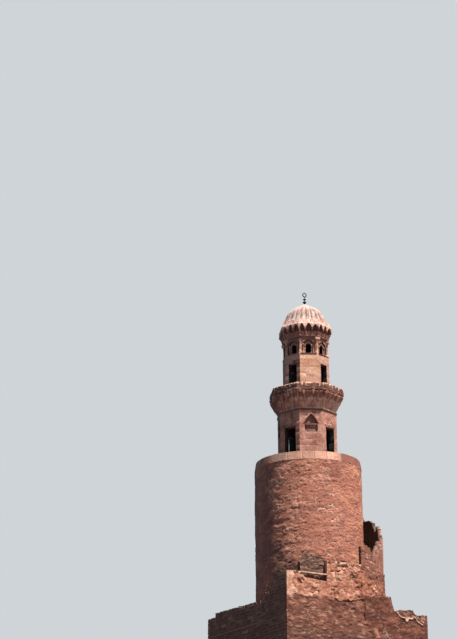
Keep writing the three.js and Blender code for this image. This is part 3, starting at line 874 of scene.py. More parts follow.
def dome_skin():
    outer = smooth_line(DOME_OUTLINE, 8)
    inner = [(r * 0.84, DOME_FOOT + (z - DOME_FOOT) * 0.87) for r, z in reversed(outer[::2])]
    top = outer[-1][1]

    def carve(side, across, apothem, z):
        turn = 2 * math.pi * across
        swell = abs(math.sin(turn * RIBS / 2)) ** 0.6
        x, y = math.sin(turn), -math.cos(turn)
        crown = eased(z, top - 0.16, top - 0.03)
        low = eased(z, 40.05, 39.3)
        worn = ruffle(x, y, z, 0.18, 1) * 0.012 + ruffle(x, y, z, 0.06, 2) * 0.006
        push = apothem * 0.07 * (1 - swell) * (1 - crown) + worn * (1 - crown)
        rib = math.floor(across * RIBS + 0.5)
        depth = 0.3 + 0.65 * low * abs(math.sin(rib * 1.9))
        groove = eased(swell, 0.5 + 0.16 * low, 0.12) * (1 - crown) * depth
        streak = low * max(0, 0.35 + 1.4 * ruffle(x, y, z * 0.12, 0.07, 3))
        azimuth = math.degrees(turn)
        # left: painted light that lifts the dome's shaded left side
        left = eased(azimuth, 315, 290) * eased(azimuth, 200, 230)
        tint = 0.78 + ruffle(x, y, z, 0.22, 4) * 0.6 + crown * 0.4 - streak * 0.75 + 0.25 * left
        return push, (clamped(tint), groove, 0, 0)

    swept_ring("dome_ribs", outer + inner, RIBS * 12, carve, "dome", "dome", sides=1)


def cornice_skin():
    outer = [
        (LANTERN, 37.805), (LANTERN + 0.03, 37.86), (LANTERN + 0.03, 37.93), (LANTERN + 0.07, 38.03),
        (CORNICE - 0.09, 38.14), (CORNICE - 0.03, CORNICE_LOW - 0.03), (CORNICE, CORNICE_LOW),
        (CORNICE, CORNICE_HIGH), (CORNICE - 0.03, CORNICE_HIGH + 0.05), (1.395, 38.86), (1.37, 38.935),
    ]
    profile = fine_line(outer, 0.028) + [(CORNICE_INNER, 38.935), (CORNICE_INNER, 37.805)]
    pitch = 2 * CORNICE * HALF_SIDE / NICHES_PER_SIDE

    def carve(side, across, apothem, z):
        if apothem < LANTERN - 0.02 and z < 38.9 or apothem <= CORNICE_INNER + 0.01:
            return 0, DARK
        place = across * NICHES_PER_SIDE
        u = (place % 1 - 0.5) * pitch
        seed = side * 3 + int(place)
        ragged_edge = ruffle(u, seed, z, 0.07, 5) * 0.02
        half = 0.135 + 0.02 * math.sin(seed * 4.1) + 0.035 * eased(z, 38.42, CORNICE_LOW)
        top = CORNICE_HIGH + 0.05 * math.sin(seed * 2.4)
        hollow = pointed(u + ragged_edge * 1.6, z, half, 38.14, 38.38, top)
        push = 0.15 * hollow * eased(z, 38.1, 38.2)
        if z < 38.2:
            tier = abs(math.sin(math.pi * (place * 2 + 0.5)))
            push += 0.035 * (1 - tier) * eased(z, 37.95, 38.05) + ragged_edge * 0.5
        push += ruffle(u, seed, z, 0.2, 6) * 0.012
        tip = 38.3 + 0.12 * ruffle(place * 3, 1, 0, 1, 31)
        pale = eased(z, tip, tip + 0.12) * (1 - hollow)
        streak = eased(z, 38.6, 38.75) * max(0, 0.2 + 1.3 * ruffle(u + seed, seed, z * 0.2, 0.06, 22))
        dark_tint = 0.35 + 0.25 * ruffle(u, seed, z, 0.15, 7)
        pale_tint = 1.0 + 0.3 * ruffle(u, seed, z, 0.1, 8) - streak * 0.55
        tint = dark_tint * (1 - pale) + pale * pale_tint
        # The niches are darkened through the joint value: painted shade
        return push, (clamped(tint), hollow * 0.9, 0, 0)

    swept_ring("upper_cornice_niches", profile, 48, carve, "cornice", "upper_cornice")


# The balcony on its carved flare

BALCONY = 2.29 * APOTHEM
KERB_WIDTH = 0.25 * APOTHEM
SIDE_LENGTH = 1.8  # about a side of the balcony, to lay its noise out along the edge
FLARE_FOOT, FLARE_TOP, BALCONY_FLOOR, KERB_TOP = 33.205, 34.2, 34.45, 34.72
FLARE = [
    (1.669, FLARE_FOOT), (1.7, 33.23), (1.7, 33.3), (1.675, 33.33), (1.7, 33.42), (1.785, 33.55),
    (1.86, 33.66), (1.95, 33.84), (2.035, 34.0), (2.085, 34.12), (2.1, FLARE_TOP),
]
FLARE_INNER = 1.406 * APOTHEM
CAMERA_SIDE = -33  # azimuth of the camera


def flare_skin():
    profile = fine_line(FLARE, 0.03) + [(FLARE_INNER, FLARE_TOP), (FLARE_INNER, FLARE_FOOT)]

    def carve(side, across, apothem, z):
        if apothem <= FLARE_INNER + 0.01:
            return 0, DARK
        u = (across - 0.5) * 2 * apothem * HALF_SIDE
        arch = pointed(u, z, 0.26, 33.36, 33.5, 33.72)
        lower = pointed((across * 3 % 1 - 0.5) * 0.5, z, 0.19, 33.62, 33.8, 33.92) * (abs(u) > 0.3)
        upper = pointed((across * 4 % 1 - 0.5) * 0.43, z, 0.16, 33.86, 34.02, 34.16)
        flutes = abs(math.sin(across * math.pi * 6)) ** 3 * 0.008 * eased(z, 33.4, 33.6)
        worn = ruffle(side * 3 + u, apothem, z, 0.12, 9) * 0.012
        push = 0.13 * arch + 0.05 * lower + 0.06 * upper + flutes + worn
        marks = ruffle(side * 3 + u, 0, z * 0.25, 0.1, 32)
        tint = 0.46 + 0.35 * ruffle(side * 3 + u, 0, z, 0.3, 10) + 0.45 * marks
        # Painted light: the flare is paler toward the sun and low down, and painted shade darkens it just
        # under the slab
        sunward = math.sin(math.radians(face_azimuth(side + across - 0.5) - CAMERA_SIDE))
        tint += 0.24 * sunward + 0.14 * (1 + sunward) * eased(z, 34, 33.8) - 0.06 * eased(z, 33.9, 34.15)
        band = eased(z, 33.2, 33.22) * eased(z, 33.33, 33.31)
        tint += arch * 0.15 + band * 0.15 - upper * 0.15
        return push, (min(0.9, max(0, tint)), 0.3 * upper, 0.2 * (arch > 0.1), 0)

    swept_ring("balcony_flare", profile, 44, carve, "balcony", "balcony_muqarnas")


def floor_and_kerb_skins():
    def chips(u, reach):
        """How broken an edge is at a distance from it: loose stones along it have fallen."""
        depth = 0.05 + 0.07 * ruffle(u, 0, 0, 0.16, 11) + 0.06 * ruffle(u, 0, 0, 0.4, 12)
        return eased(reach, depth, depth - 0.03)

    def floor_carve(side, across, apothem, z):
        # Inner faces get painted shade
        if apothem < 2.0:
            return 0, (0.5, 0, 0, 0.6)
        u = side * SIDE_LENGTH + across * SIDE_LENGTH
        broken = chips(u, z - FLARE_TOP)
        # pale: painted highlights on the lit tips of some stones
        pale = max(0, math.sin(math.floor(u / 0.3) * 5.7) - 0.35) * 1.6 * eased(z, 34.38, 34.3)
        pale *= eased(ruffle(u, 0, z, 0.07, 24), -0.2, 0)
        push = 0.1 * broken + ruffle(u, 0, z, 0.1, 13) * 0.02 - 0.02 * pale
        tint = 0.06 + 0.4 * ruffle(u, 0, z, 0.2, 14) + pale * 0.6
        # The rest of the slab's face is darkened: painted shade
        return push, (clamped(tint), 0.4 * broken, pale, 0.2 * (1 - pale))

    def kerb_carve(side, across, apothem, z):
        # Inner faces get painted shade
        if apothem < BALCONY - 0.06:
            return 0, (0.4, 0, 0, 0.3)
        u = side * SIDE_LENGTH + across * SIDE_LENGTH
        broken = chips((side + 9) * SIDE_LENGTH + across * SIDE_LENGTH, KERB_TOP - z)
        push = 0.1 * broken + ruffle(u, 0, z, 0.1, 15) * 0.02
        # crest: painted highlight along the kerb's lit top edge
        crest = eased(z + 0.3 * ruffle(u, 0, 0, 0.12, 26), 34.6, 34.66)
        crest *= eased(ruffle(u, 0, 0, 0.3, 16), -0.3, 0)
        tint = 0.05 + 0.3 * ruffle(u, 0, z, 0.2, 16) + 0.75 * crest
        # The rest of the kerb's face is darkened: painted shade
        return push, (clamped(tint), 0.3 * broken * (1 - crest), 3 * crest, 0.2 * (1 - crest))

    floor = [(BALCONY - 0.03, FLARE_TOP), (BALCONY, FLARE_TOP + 0.03), (BALCONY, BALCONY_FLOOR)]
    floor = fine_line(floor, 0.028)
    floor += [(1.0, BALCONY_FLOOR), (0.02, BALCONY_FLOOR), (0.02, FLARE_TOP), (1.0, FLARE_TOP)]
    swept_ring("balcony_slab", floor, 40, floor_carve, "balcony", "balcony_floor")
    inner = BALCONY - KERB_WIDTH
    outside = [(BALCONY, BALCONY_FLOOR), (BALCONY, KERB_TOP - 0.03), (BALCONY - 0.03, KERB_TOP)]
    inside = [(inner + 0.03, KERB_TOP), (inner, KERB_TOP - 0.03), (inner, BALCONY_FLOOR)]
    kerb = fine_line(outside, 0.028) + fine_line(inside, 0.08)
    swept_ring("balcony_kerb_stones", kerb, 40, kerb_carve, "balcony", "balcony_kerb")


# Colonnettes, mouldings, finial and hanging stones

def turned_shape(profile, centre, turns=14):
    """A small turned shape on an upright axis: points and faces."""
    points, faces = [], []
    for i in range(turns):
        x, y = math.cos(2 * math.pi * i / turns), math.sin(2 * math.pi * i / turns)
        points += [centre + Vector((scaled(r) * x, scaled(r) * y, scaled(z))) for r, z in profile]
    rows = len(profile)
    for i in range(turns):
        here, there = i * rows, (i + 1) % turns * rows
        faces += [(here + j, there + j, there + j + 1, here + j + 1) for j in range(rows - 1)]
    return points, faces


def gather(shapes):
    """Joins lists of points and faces into one."""
    points, faces = [], []
    for more, some in shapes:
        start = len(points)
        points += more
        faces += [tuple(start + i for i in face) for face in some]
    return points, faces


def face_azimuth(side):
    return OCTAGON_TURN + 22.5 + 45 * side


def on_face(azimuth, reach, across, z):
    """A point on or before the face of an octagon at an azimuth."""
    out, side = directions(azimuth)
    return Vector((AXIS_X, AXIS_Y, scaled(z))) + out * scaled(reach) + side * scaled(across)


def box_shape(azimuth, near, far, left, right, low, high, slope=0.0):
    """A block on a face of an octagon, between two distances from the axis."""
    points = [
        on_face(azimuth, reach, across, z)
        for z, front in ((low, far - slope), (high, far))
        for across, reach in ((left, near), (right, near), (right, front), (left, front))
    ]
    faces = [(0, 1, 2, 3), (7, 6, 5, 4), (0, 4, 5, 1), (1, 5, 6, 2), (2, 6, 7, 3), (3, 7, 4, 0)]
    return points, faces


def arch_shapes(azimuth, near, far, inner, outer, spring, apex, parts=14):
    """A raised moulding in the shape of a pointed arch, made of small wedges."""

    def on_arch(half, share):
        climb = 1 - abs(share - 0.5) * 2
        width = half * (1 - climb**1.6)
        rise = (apex - spring) * climb + (half - inner) * climb
        return -width if share < 0.5 else width, spring + rise

    faces = [(1, 3, 7, 5), (0, 4, 6, 2), (0, 1, 5, 4), (2, 6, 7, 3), (0, 2, 3, 1), (4, 5, 7, 6)]
    shapes = []
    for i in range(parts):
        places = [on_arch(half, share / parts) for share in (i, i + 1) for half in (inner, outer)]
        shapes.append(([on_face(azimuth, reach, u, z) for u, z in places for reach in (near, far)], faces))
    return shapes


COLONNETTE_PROFILE = [
    (0.0, 36.725), (0.1, 36.725), (0.1, 36.8), (0.085, 36.83), (0.095, 36.86), (0.07, 36.9), (0.064, 37.0),
    (0.06, 37.4), (0.064, 37.48), (0.08, 37.5), (0.064, 37.53), (0.085, 37.6), (0.12, 37.66), (0.0, 37.66),
]
WINDOW_SHAFT = [
    (0.0, 36.79), (0.045, 36.79), (0.045, 36.85), (0.03, 36.88), (0.028, 37.28), (0.045, 37.31),
    (0.045, 37.36), (0.0, 37.36),
]
WINDOW_SHAFT_AT = 0.31
FALLEN_CAPITAL = 7


def lantern_details():
    shafts, frames = [], []
    for side in range(8):
        corner = OCTAGON_TURN + 45 * side
        shafts.append(turned_shape(COLONNETTE_PROFILE, polar(scaled(1.33), corner, 0)))
        if side != FALLEN_CAPITAL:
            shafts.append(box_shape(corner, 1.14, 1.46, -0.16, 0.16, 37.66, 37.79))
        azimuth = face_azimuth(side)
        for u in (-WINDOW_SHAFT_AT, WINDOW_SHAFT_AT):
            spot = polar(scaled(1.2), azimuth, 0) + directions(azimuth)[1] * scaled(u)
            frames.append(turned_shape(WINDOW_SHAFT, spot, 8))
            frames.append(box_shape(azimuth, 1.13, 1.235, u - 0.055, u + 0.055, 37.36, 37.4))
        frames.append(box_shape(azimuth, 1.2, 1.36, -0.5, 0.5, 36.715, 36.775, 0.03))
        frames += arch_shapes(azimuth, 1.14, 1.2, 0.2, 0.26, 37.26, 37.5)
    points, faces = gather(shafts)
    marks = [(0.55 + 0.3 * ruffle(*p, 0.1, 17), 0, 0.2, 0) for p in points]
    skin("lantern_colonnettes", points, faces, marks, "panel")
    points, faces = gather(frames)
    marks = [(0.32 + 0.3 * ruffle(*p, 0.08, 18), 0, 0.1, 0) for p in points]
    skin("lantern_window_frames", points, faces, marks, "peach")


def octagon_details():
    """A band under the flare, niches with brackets on every other face, doors on the rest."""
    shapes = []
    for side in range(8):
        azimuth = face_azimuth(side)
        shapes.append(box_shape(azimuth, OCTAGON - 0.1, OCTAGON + 0.05, -0.69, 0.69, 33.1, 33.19, 0.03))
        if side % 2:
            shapes.append(box_shape(azimuth, 1.5, OCTAGON - 0.01, -0.36, 0.36, 32.22, 32.32, 0.02))
            for u in (-0.22, 0, 0.22):
                bracket = box_shape(azimuth, 1.5, OCTAGON - 0.05, u - 0.07, u + 0.07, 32.08, 32.22, 0.08)
                shapes.append(bracket)
            shapes += arch_shapes(azimuth, OCTAGON - 0.06, OCTAGON + 0.03, 0.38, 0.45, 32.35, 32.9)
        else:
            shapes += arch_shapes(azimuth, OCTAGON - 0.06, OCTAGON + 0.022, 0.22, 0.28, 32.4, 32.8)
            shapes.append(box_shape(azimuth, OCTAGON - 0.05, OCTAGON + 0.025, -0.5, 0.5, 32.24, 32.32, 0.01))
    points, faces = gather(shapes)
    tints = [0.3 + 0.4 * ruffle(*p, 0.1, 19) - 0.4 * (p.z > scaled(33)) for p in points]
    skin("octagon_mouldings", points, faces, [(clamped(tint), 0, 0.1, 0) for tint in tints], "peach")


FINIAL_PROFILE = [
    (0.0, 40.362), (0.05, 40.362), (0.052, 40.385), (0.075, 40.405), (0.1, 40.435), (0.108, 40.465),
    (0.1, 40.495), (0.06, 40.53), (0.024, 40.55), (0.022, 40.6), (0.05, 40.615), (0.092, 40.635),
    (0.098, 40.655), (0.09, 40.675), (0.045, 40.695), (0.022, 40.71), (0.02, 40.84),
]
CRESCENT_MIDDLE, CRESCENT_RADIUS, CRESCENT_DEGREES = 40.955, 0.122, 350


def finial_skin():
    """The rod with its two balls, and a crescent whose horns nearly meet."""
    rod = turned_shape(smooth_line(FINIAL_PROFILE, 3), AXIS, 24)
    points, faces = [], []
    stations, sections = 40, 10
    for i in range(stations + 1):
        share = i / stations
        turn = math.radians(270 + (share - 0.5) * CRESCENT_DEGREES)
        bulge = math.sin(math.pi * share)
        thick = 0.024 + 0.01 * bulge
        for k in range(sections):
            around = 2 * math.pi * k / sections
            r = CRESCENT_RADIUS + thick * math.cos(around)
            depth = min(thick, 0.026) * math.sin(around)
            x, z = r * math.cos(turn), r * math.sin(turn) - 0.008 * bulge
            points.append(AXIS + Vector((scaled(x), scaled(depth), scaled(CRESCENT_MIDDLE + z))))
    for i in range(stations):
        here, there = i * sections, (i + 1) * sections
        for k in range(sections):
            ahead = (k + 1) % sections
            faces.append((here + k, here + ahead, there + ahead, there + k))
    faces.append(tuple(range(sections)))
    faces.append(tuple(stations * sections + k for k in reversed(range(sections))))
    points, faces = gather([rod, (points, faces)])
    skin("finial_metal", points, faces, [(0.5, 0, 0, 0)] * len(points), "bronze", "finial")


PENDANTS_PER_SIDE = 6
PENDANTS_LOST = 0.55


def pendants():
    """Small pointed stones left hanging from the balcony's edge. Some have fallen."""
    rng = random.Random("pendants")
    shapes = []
    for side in range(8):
        for step in range(PENDANTS_PER_SIDE):
            if rng.random() < PENDANTS_LOST:
                continue
            u = (step + 0.5 + rng.uniform(-0.2, 0.2)) / PENDANTS_PER_SIDE * 2 - 1
            u *= BALCONY * HALF_SIDE
            half, drop = rng.uniform(0.06, 0.11), rng.uniform(0.14, 0.26)
            azimuth = face_azimuth(side)
            points, faces = box_shape(
                azimuth, BALCONY - 0.25, BALCONY + 0.015, u - half, u + half, 34.24 - drop, 34.25
            )
            out, along = directions(azimuth)
            middle = AXIS.dot(along) + scaled(u)
            for i in range(4):
                points[i] -= along * (points[i].dot(along) - middle) * 0.7
                if i > 1:
                    points[i] -= out * scaled(0.05)
            shapes.append((points, faces))
    points, faces = gather(shapes)
    marks = [(clamped(0.6 + 0.8 * ruffle(*p, 0.12, 23)), 0, 0.8, 0) for p in points]
    skin("balcony_pendants", points, faces, marks, "balcony")


# Worn walls, as closed sheets whose face stands out and sinks

DRUM_RADIUS = 3.17
SPIRAL_OUTER, SPIRAL_INNER = 4.3, 4.06
SPIRAL_THICKNESS = SPIRAL_OUTER - SPIRAL_INNER
TERRACE, PLATFORM, COPING_BOTTOM, SPIRAL_END_TOP = 20.35, 29.3, 29.77, 30.2
RIM_THICKNESS = 0.35
FRONT_Y = -4.3
LEFT_X, RIGHT_X = -4.7, 4.7
COARSE, MEDIUM, FINE = (0.06, 0.045), (0.05, 0.04), (0.045, 0.035)  # steps along and up a wall


def round_path(radius):
    def place(along, out):
        turn = along / radius
        reach = radius + out
        return REAL_AXIS + reach * math.sin(turn), -reach * math.cos(turn)

    return place


def front_path(along, out):
    """The front of the terrace block: straight, then round the spiral stair."""
    if along < 0:
        return REAL_AXIS + along, FRONT_Y - out
    return round_path(-FRONT_Y)(along, out)


def level(z):
    return lambda along: z


def worn_wall(name, node, path, span, depth, heights, look, material, step=COARSE, soot_and_shade=0.3):
    """A closed wall with a worn face.

    path(along, out) is the plan point at a length along the wall and a distance before its face.
    heights are two functions that give the bottom and the top at a length along the wall.
    look(point, along) tells how far the face stands out there, and its stone layer."""
    first, last = span
    bottom_at, top_at = heights
    columns = math.ceil((last - first) / step[0])
    is_ring = math.dist(path(first, 0), path(last, 0)) < 1e-6
    stations = columns if is_ring else columns + 1
    lengths = [first + (last - first) * i / columns for i in range(columns + 1)]
    rows = math.ceil(max(top_at(along) - bottom_at(along) for along in lengths) / step[1])
    back_rows = max(1, rows // 6)
    points, marks = [], []

    def add(plan, z, mark):
        points.append(Vector((scaled(plan[0]), scaled(plan[1]), scaled(z))))
        marks.append(mark)

    for along in lengths[:stations]:
        bottom, top = bottom_at(along), top_at(along)
        for j in range(rows + 1):
            z = bottom + (top - bottom) * j / rows
            out, mark = look(Vector((*path(along, 0), z)), along)
            add(path(along, out), z, mark)
        for j in range(back_rows + 1):
            # The back of the wall is darkened by the given amount: painted shade
            add(path(along, -depth), top - (top - bottom) * j / back_rows, (0.3, 0, 0, soot_and_shade))
    ring = rows + back_rows + 2
    faces = strips(columns, stations, ring)
    if not is_ring:
        faces.append(tuple(range(ring)))
        faces.append(tuple((stations - 1) * ring + j for j in reversed(range(ring))))
    skin(name, points, faces, marks, material, node, sharp=SHARP_WALL)


def spread(point, wide, tall, seed):
    """Smooth noise with patches of a width and a height."""
    return noise.noise(Vector((point.x / wide + seed * 7.3, point.y / wide + seed, point.z / tall)))


@functools.cache
def chance(*numbers):
    """A number between 0 and 1 that depends on the given ones only."""
    return random.Random(str(numbers)).random()


def laid(across, up, course, length, seed):
    """How near a joint a point of a wall is, and its stone's own numbers."""
    row = math.floor(up / course)
    low = up - row * course
    place = across / length + chance(seed, row) * 5
    place += 0.25 * math.sin(across / length * 2.1 + row * 1.7)
    stone = math.floor(place)
    side = (place - stone) * length
    gap = min(low, course - low, side, length - side)
    return gap, chance(seed, row, stone), chance(seed, row, stone, 1)


def coursed(point, along, course, length, seed, wave=0.1, ripple=0.03):
    """Stones in courses that waver."""
    up = point.z + wave * spread(point, 1.3, 1.3, seed) + ripple * spread(point, 0.3, 0.3, seed + 1)
    return laid(along + ripple * spread(point, 0.2, 0.2, seed + 2), up, course, length, seed)


def lumps(along, z, wide, tall, seed):
    """Random rubble: how near a joint a point is, and its stone's own numbers."""
    warp = 0.3 * noise.noise(Vector((along * 4, z * 4, seed)))
    distances, centres = noise.voronoi(Vector((along / wide + warp, z / tall - warp, seed)))
    key = tuple(round(value, 2) for value in centres[0])
    return distances[1] - distances[0], chance(key), chance(key, 1)


def drum_look(point, along):
    """Old courses that show faintly through worn plaster, with broken edges of its coats. Crests and coat
    edges get painted highlights, the far left painted shade, and a patch low on the left a painted shadow.
    """
    azimuth = math.degrees(math.atan2(point.x - REAL_AXIS, -point.y))
    gap, lift, shade = coursed(point, along, 0.29, 0.5, 41)
    bare = eased(spread(point, 1.1, 0.5, 42) + 0.5 * spread(point, 0.35, 0.2, 43), -0.05, 0.25)
    joint = eased(gap, 0.05, 0.01) * bare
    strokes = spread(point, 0.26, 0.17, 44)
    fine = spread(point, 0.13, 0.11, 45)
    mottled = spread(point, 0.42, 0.36, 40)
    broad = spread(point, 1.3, 1.0, 46)
    coat = spread(point, 0.8, 0.34, 47) + 0.4 * spread(point, 0.16, 0.12, 48)
    flake = eased(coat, 0.14, 0.2)
    most = 0.35 + 0.65 * eased(point.z, 26.2, 27) * eased(azimuth, -4, -14)
    # fringe: painted highlight along the broken edges of the coats
    fringe = eased(abs(coat - 0.14), 0.09, 0.035) * eased(spread(point, 1.2, 1.0, 50), -0.15, 0.05) * most
    pit = eased(spread(point, 0.13, 0.08, 49), 0.36, 0.46)
    out = 0.007 * strokes + 0.006 * fine + 0.012 * mottled + 0.02 * broad + 0.014 * flake
    out += bare * (0.008 * (lift - 0.5)) - 0.008 * joint - 0.025 * pit - 0.025
    # Painted shade on the drum's shaded far left, and a painted shadow low on the left
    left = eased(azimuth, -70, -90) * (0.6 + 0.4 * eased(point.z, 21.5, 22.5))
    red = eased(azimuth, -28, -14) * eased(azimuth, 16, 4)
    edge = 36 * eased(point.z + broad, 25.5, 22.9) - 78
    low = eased(azimuth + 16 * mottled, edge + 5, edge - 5) * eased(azimuth, -100, -85)
    low *= 0.5 + 0.5 * eased(point.z, 21.3, 22.3)
    tint = 0.42 - 0.16 * red - 0.2 * left - 0.25 * low + 0.3 * broad + 0.3 * fine + 0.22 * mottled
    tint += 0.1 * bare * (shade - 0.5) + 0.14 * flake
    # Painted highlights on the crests of the strokes and along the coats' edges
    crest = 0.4 * eased(strokes, 0.24, 0.4) * (1 - low) + 3 * fringe * (1 - left)
    out -= 0.7 * low * (0.007 * strokes + 0.012 * mottled)
    return min(out, 0.05), (clamped(tint), 0.4 * joint + 0.4 * pit, crest, 0.42 * low * (1 - left))


def spiral_look(point, along):
    """Smoother, pinker plaster with upright streaks, and loose stones at the top, with painted shade on the
    front and on the top of the far wall.
    """
    streaks = spread(point, 0.14, 0.9, 51)
    broad = spread(point, 0.7, 0.6, 52)
    fine = spread(point, 0.16, 0.12, 53)
    azimuth = math.degrees(math.atan2(point.x - REAL_AXIS, -point.y))
    below = height_on(SPIRAL_TOPS, azimuth) - point.z
    crumbled = eased(below, 0.8, 0.2)
    gap, lift, shade = coursed(point, along, 0.22, 0.26, 54, 0.2, 0.1)
    joint = eased(gap, 0.05, 0.01) * crumbled
    out = 0.02 * streaks + 0.02 * broad + 0.014 * fine + crumbled * (0.06 * (lift - 0.5))
    out -= 0.03 * joint + 0.05
    # Painted shade: the front part is darker
    front = eased(azimuth, 55, 42)
    tint = 0.5 + 0.6 * streaks + 0.3 * broad + crumbled * (shade - 0.35) * 0.9 - 0.35 * front
    # Painted shade: the top of the far, rising wall is nearly black, with a few bits left out
    shaded_top = eased(azimuth, 48, 56) * eased(below, 0.14, 0.05)
    shaded_top *= eased(spread(point, 0.16, 0.16, 55), 0.25, 0.05)
    return out, (clamped(tint), 0.8 * joint, 2 * crumbled * shade**2, max(0.95 * shaded_top, 0.3 * front))


def rubble_look(point, along):
    """Thin, uneven stones laid dry, sunk behind the facing that has fallen."""
    gap, lift, shade = coursed(point, along, 0.17, 0.3, 61, 0.35, 0.16)
    joint = eased(gap, 0.04, 0.01)
    out = 0.06 * (lift - 0.5) - 0.03 * joint + 0.03 * spread(point, 0.16, 0.1, 62)
    ledge = eased(spread(point, 0.4, 0.12, 63), 0.2, 0.35)
    tint = 0.25 + 0.5 * shade * spread(point, 0.3, 0.2, 64) + 0.3 * shade
    return min(out, 0) - 0.03, (clamped(tint), 0.5 * joint, 1.2 * ledge, 0.16)


BLOCK_FOOT = 21.38  # the pale stones end here, and dark courses begin
QUOIN = -4.3  # the pale corner stones reach to this x
GAP_END = -2.04  # x of the front facing's left end
FACING_TOP, STUMP_TOP = 23.5, 22.7


def mixed(a, b, share):
    return [x + (y - x) * share for x, y in zip(a, b)]


def pale_stones(point, along):
    """Broken facing: blocks in wavering courses, some upright, some fallen, and worn smooth areas."""
    x, z = REAL_AXIS + along, point.z
    flat = coursed(point, along, 0.25, 0.36, 73, 0.25, 0.16)
    wave = 0.2 * spread(point, 0.9, 0.9, 74) + 0.08 * spread(point, 0.25, 0.25, 75)
    upright = laid(z + wave, along + wave, 0.24, 0.5, 76)
    gap, lift, shade = upright if spread(point, 0.8, 0.5, 77) > 0.08 else flat
    rough = 0.2 + 0.8 * eased(spread(point, 0.7, 0.5, 68), -0.12, 0.2)
    joint = eased(gap, 0.05, 0.015) * rough
    fallen = eased(lift, 0.12, 0.08) * rough
    out = rough * (0.055 * (lift - 0.5) - 0.03 * joint) - 0.035 * fallen
    out += 0.02 * spread(point, 0.2, 0.16, 78) + 0.04 * spread(point, 0.7, 0.5, 79)
    tint = 0.53 + 0.55 * (shade - 0.45) * rough + 0.45 * spread(point, 0.14, 0.14, 80)
    tint -= 0.2 * eased(x, -1.2, 1.2) - 0.1 * eased(x, -2.2, -3.6)
    return out, tint, clamped(0.45 * joint + 0.5 * fallen), 1.5 * (shade > 0.75) * rough, 0


def dark_courses(point, along):
    """Brown rubble under thin plaster, with a few pale edges."""
    gap, lift, shade = coursed(point, along, 0.2, 0.34, 81, 0.4, 0.22)
    bare = eased(spread(point, 0.6, 0.4, 84), -0.1, 0.15)
    seam = eased(gap, 0.045, 0.01) * bare
    ledge = spread(point, 0.36, 0.14, 82)
    out = 0.035 * (lift - 0.5) * bare - 0.02 * seam + 0.016 * ledge + 0.05 * spread(point, 0.9, 0.6, 83)
    tint = 0.18 + 0.3 * shade**2 * bare + 0.25 * spread(point, 0.22, 0.14, 84)
    return out, tint, 0.5 * seam, 2.6 * eased(ledge, 0.28, 0.42) * (shade > 0.3), 0.36


def red_plaster(point, along):
    """Thick plaster in folds, with cracked edges."""
    x, z = REAL_AXIS + along, point.z
    folds = spread(point, 0.55, 0.45, 85)
    small = spread(point, 0.14, 0.12, 86)
    crack = eased(abs(spread(point, 0.7, 0.6, 87)), 0.03, 0.01)
    bright = eased(spread(point, 0.6, 0.4, 88), 0.1, 0.35) * eased(z, 20.2, 19.9) * eased(x, 2.4, 1.9)
    out = 0.03 + 0.045 * folds + 0.012 * small - 0.02 * crack + 0.03 * bright
    tint = 0.04 + 0.3 * folds + 0.2 * small + 0.5 * bright
    return out, tint, 0.4 * crack, 0.5 * eased(small, 0.24, 0.4), 0.24 - 0.2 * bright


def block_look(point, along):
    """Pale stones over dark courses, pale corner stones, red plaster on the right."""
    x, z = REAL_AXIS + along, point.z
    wave = 0.25 * spread(point, 0.6, 0.6, 71) + 0.12 * spread(point, 0.16, 0.16, 72)
    top = FACING_TOP if x > GAP_END else STUMP_TOP
    upper = eased(z + wave, BLOCK_FOOT - 0.06, BLOCK_FOOT + 0.06)
    right = 0.42 + 0.3 * (20.9 - z)
    plaster = eased(x + wave, right, right + 0.1) * eased(z - 0.12 * (x - 0.5) + wave, 21.95, 21.85)
    quoin = eased(x + wave * 0.5, QUOIN + 0.05, QUOIN - 0.05) * eased(z + wave, 21.1, 21.35)
    look = mixed(dark_courses(point, along), pale_stones(point, along), upper)
    look = mixed(look, red_plaster(point, along), plaster)
    corner = (0.035 + 0.02 * spread(point, 0.3, 0.3, 89), 0.74 + 0.5 * spread(point, 0.2, 0.3, 90))
    look = mixed(look, (*corner, 0.1, 1, 0), quoin)
    crest = eased(z + 0.2 * spread(point, 0.18, 0.18, 91), top - 0.1, top - 0.03) * eased(z, 22, 22.2)
    look = mixed(look, (0.04, 1, 0, 2.5, 0), crest * (0.35 + 0.65 * eased(x, 0.7, 0.3)))
    brown = eased(x + wave, 0.45, 0.8) * eased(z + wave, 22.5, 22.8) * eased(z, 23.42, 23.36)
    look = mixed(look, (look[0] * 0.5, 0.1 + 0.3 * wave, 0.2, 0.4, 0.2), 0.8 * brown)
    bits = eased(abs(x - 1.62) + abs(z - 22.25) * 0.6, 0.34, 0.2) * eased(wave, 0.02, 0.06)
    look = mixed(look, (0.08, 1, 0, 3, 0), bits)
    crack = eased(abs(z - 21.36 - 0.1 * math.sin(x * 2) + 0.8 * wave), 0.06, 0.02)
    crack *= eased(abs(x + 0.6), 1.1, 0.9)
    out, tint, joint, edge, soot_and_shade = mixed(look, (-0.06, 0.1, 1, 0, 0.3), crack)
    soot_and_shade += 0.3 * eased(z, 19.9, 19.4) * (1 - soot_and_shade)
    return out, (clamped(tint), clamped(joint), edge, soot_and_shade)


def ledge_look(point, along):
    """The pale ledge in the parapet's gap."""
    return 0.02 + 0.03 * spread(point, 0.2, 0.2, 93), (0.95, 0, 1.5, 0)


# Foot of the patch of mortared rubble on the low wall, as x and height
PATCH_FOOT = [
    (2.3, 21.4), (2.6, 21.0), (2.95, 20.72), (3.25, 20.6), (3.5, 20.66), (3.75, 20.8), (4.0, 20.56),
    (4.36, 20.44), (4.5, 20.9), (4.7, 21.2),
]


def height_on(line, place):
    """Height of a broken line at a place along it."""
    for (a0, z0), (a1, z1) in zip(line, line[1:]):
        if place <= a1:
            return z0 + (z1 - z0) * (place - a0) / (a1 - a0)
    return line[-1][1]


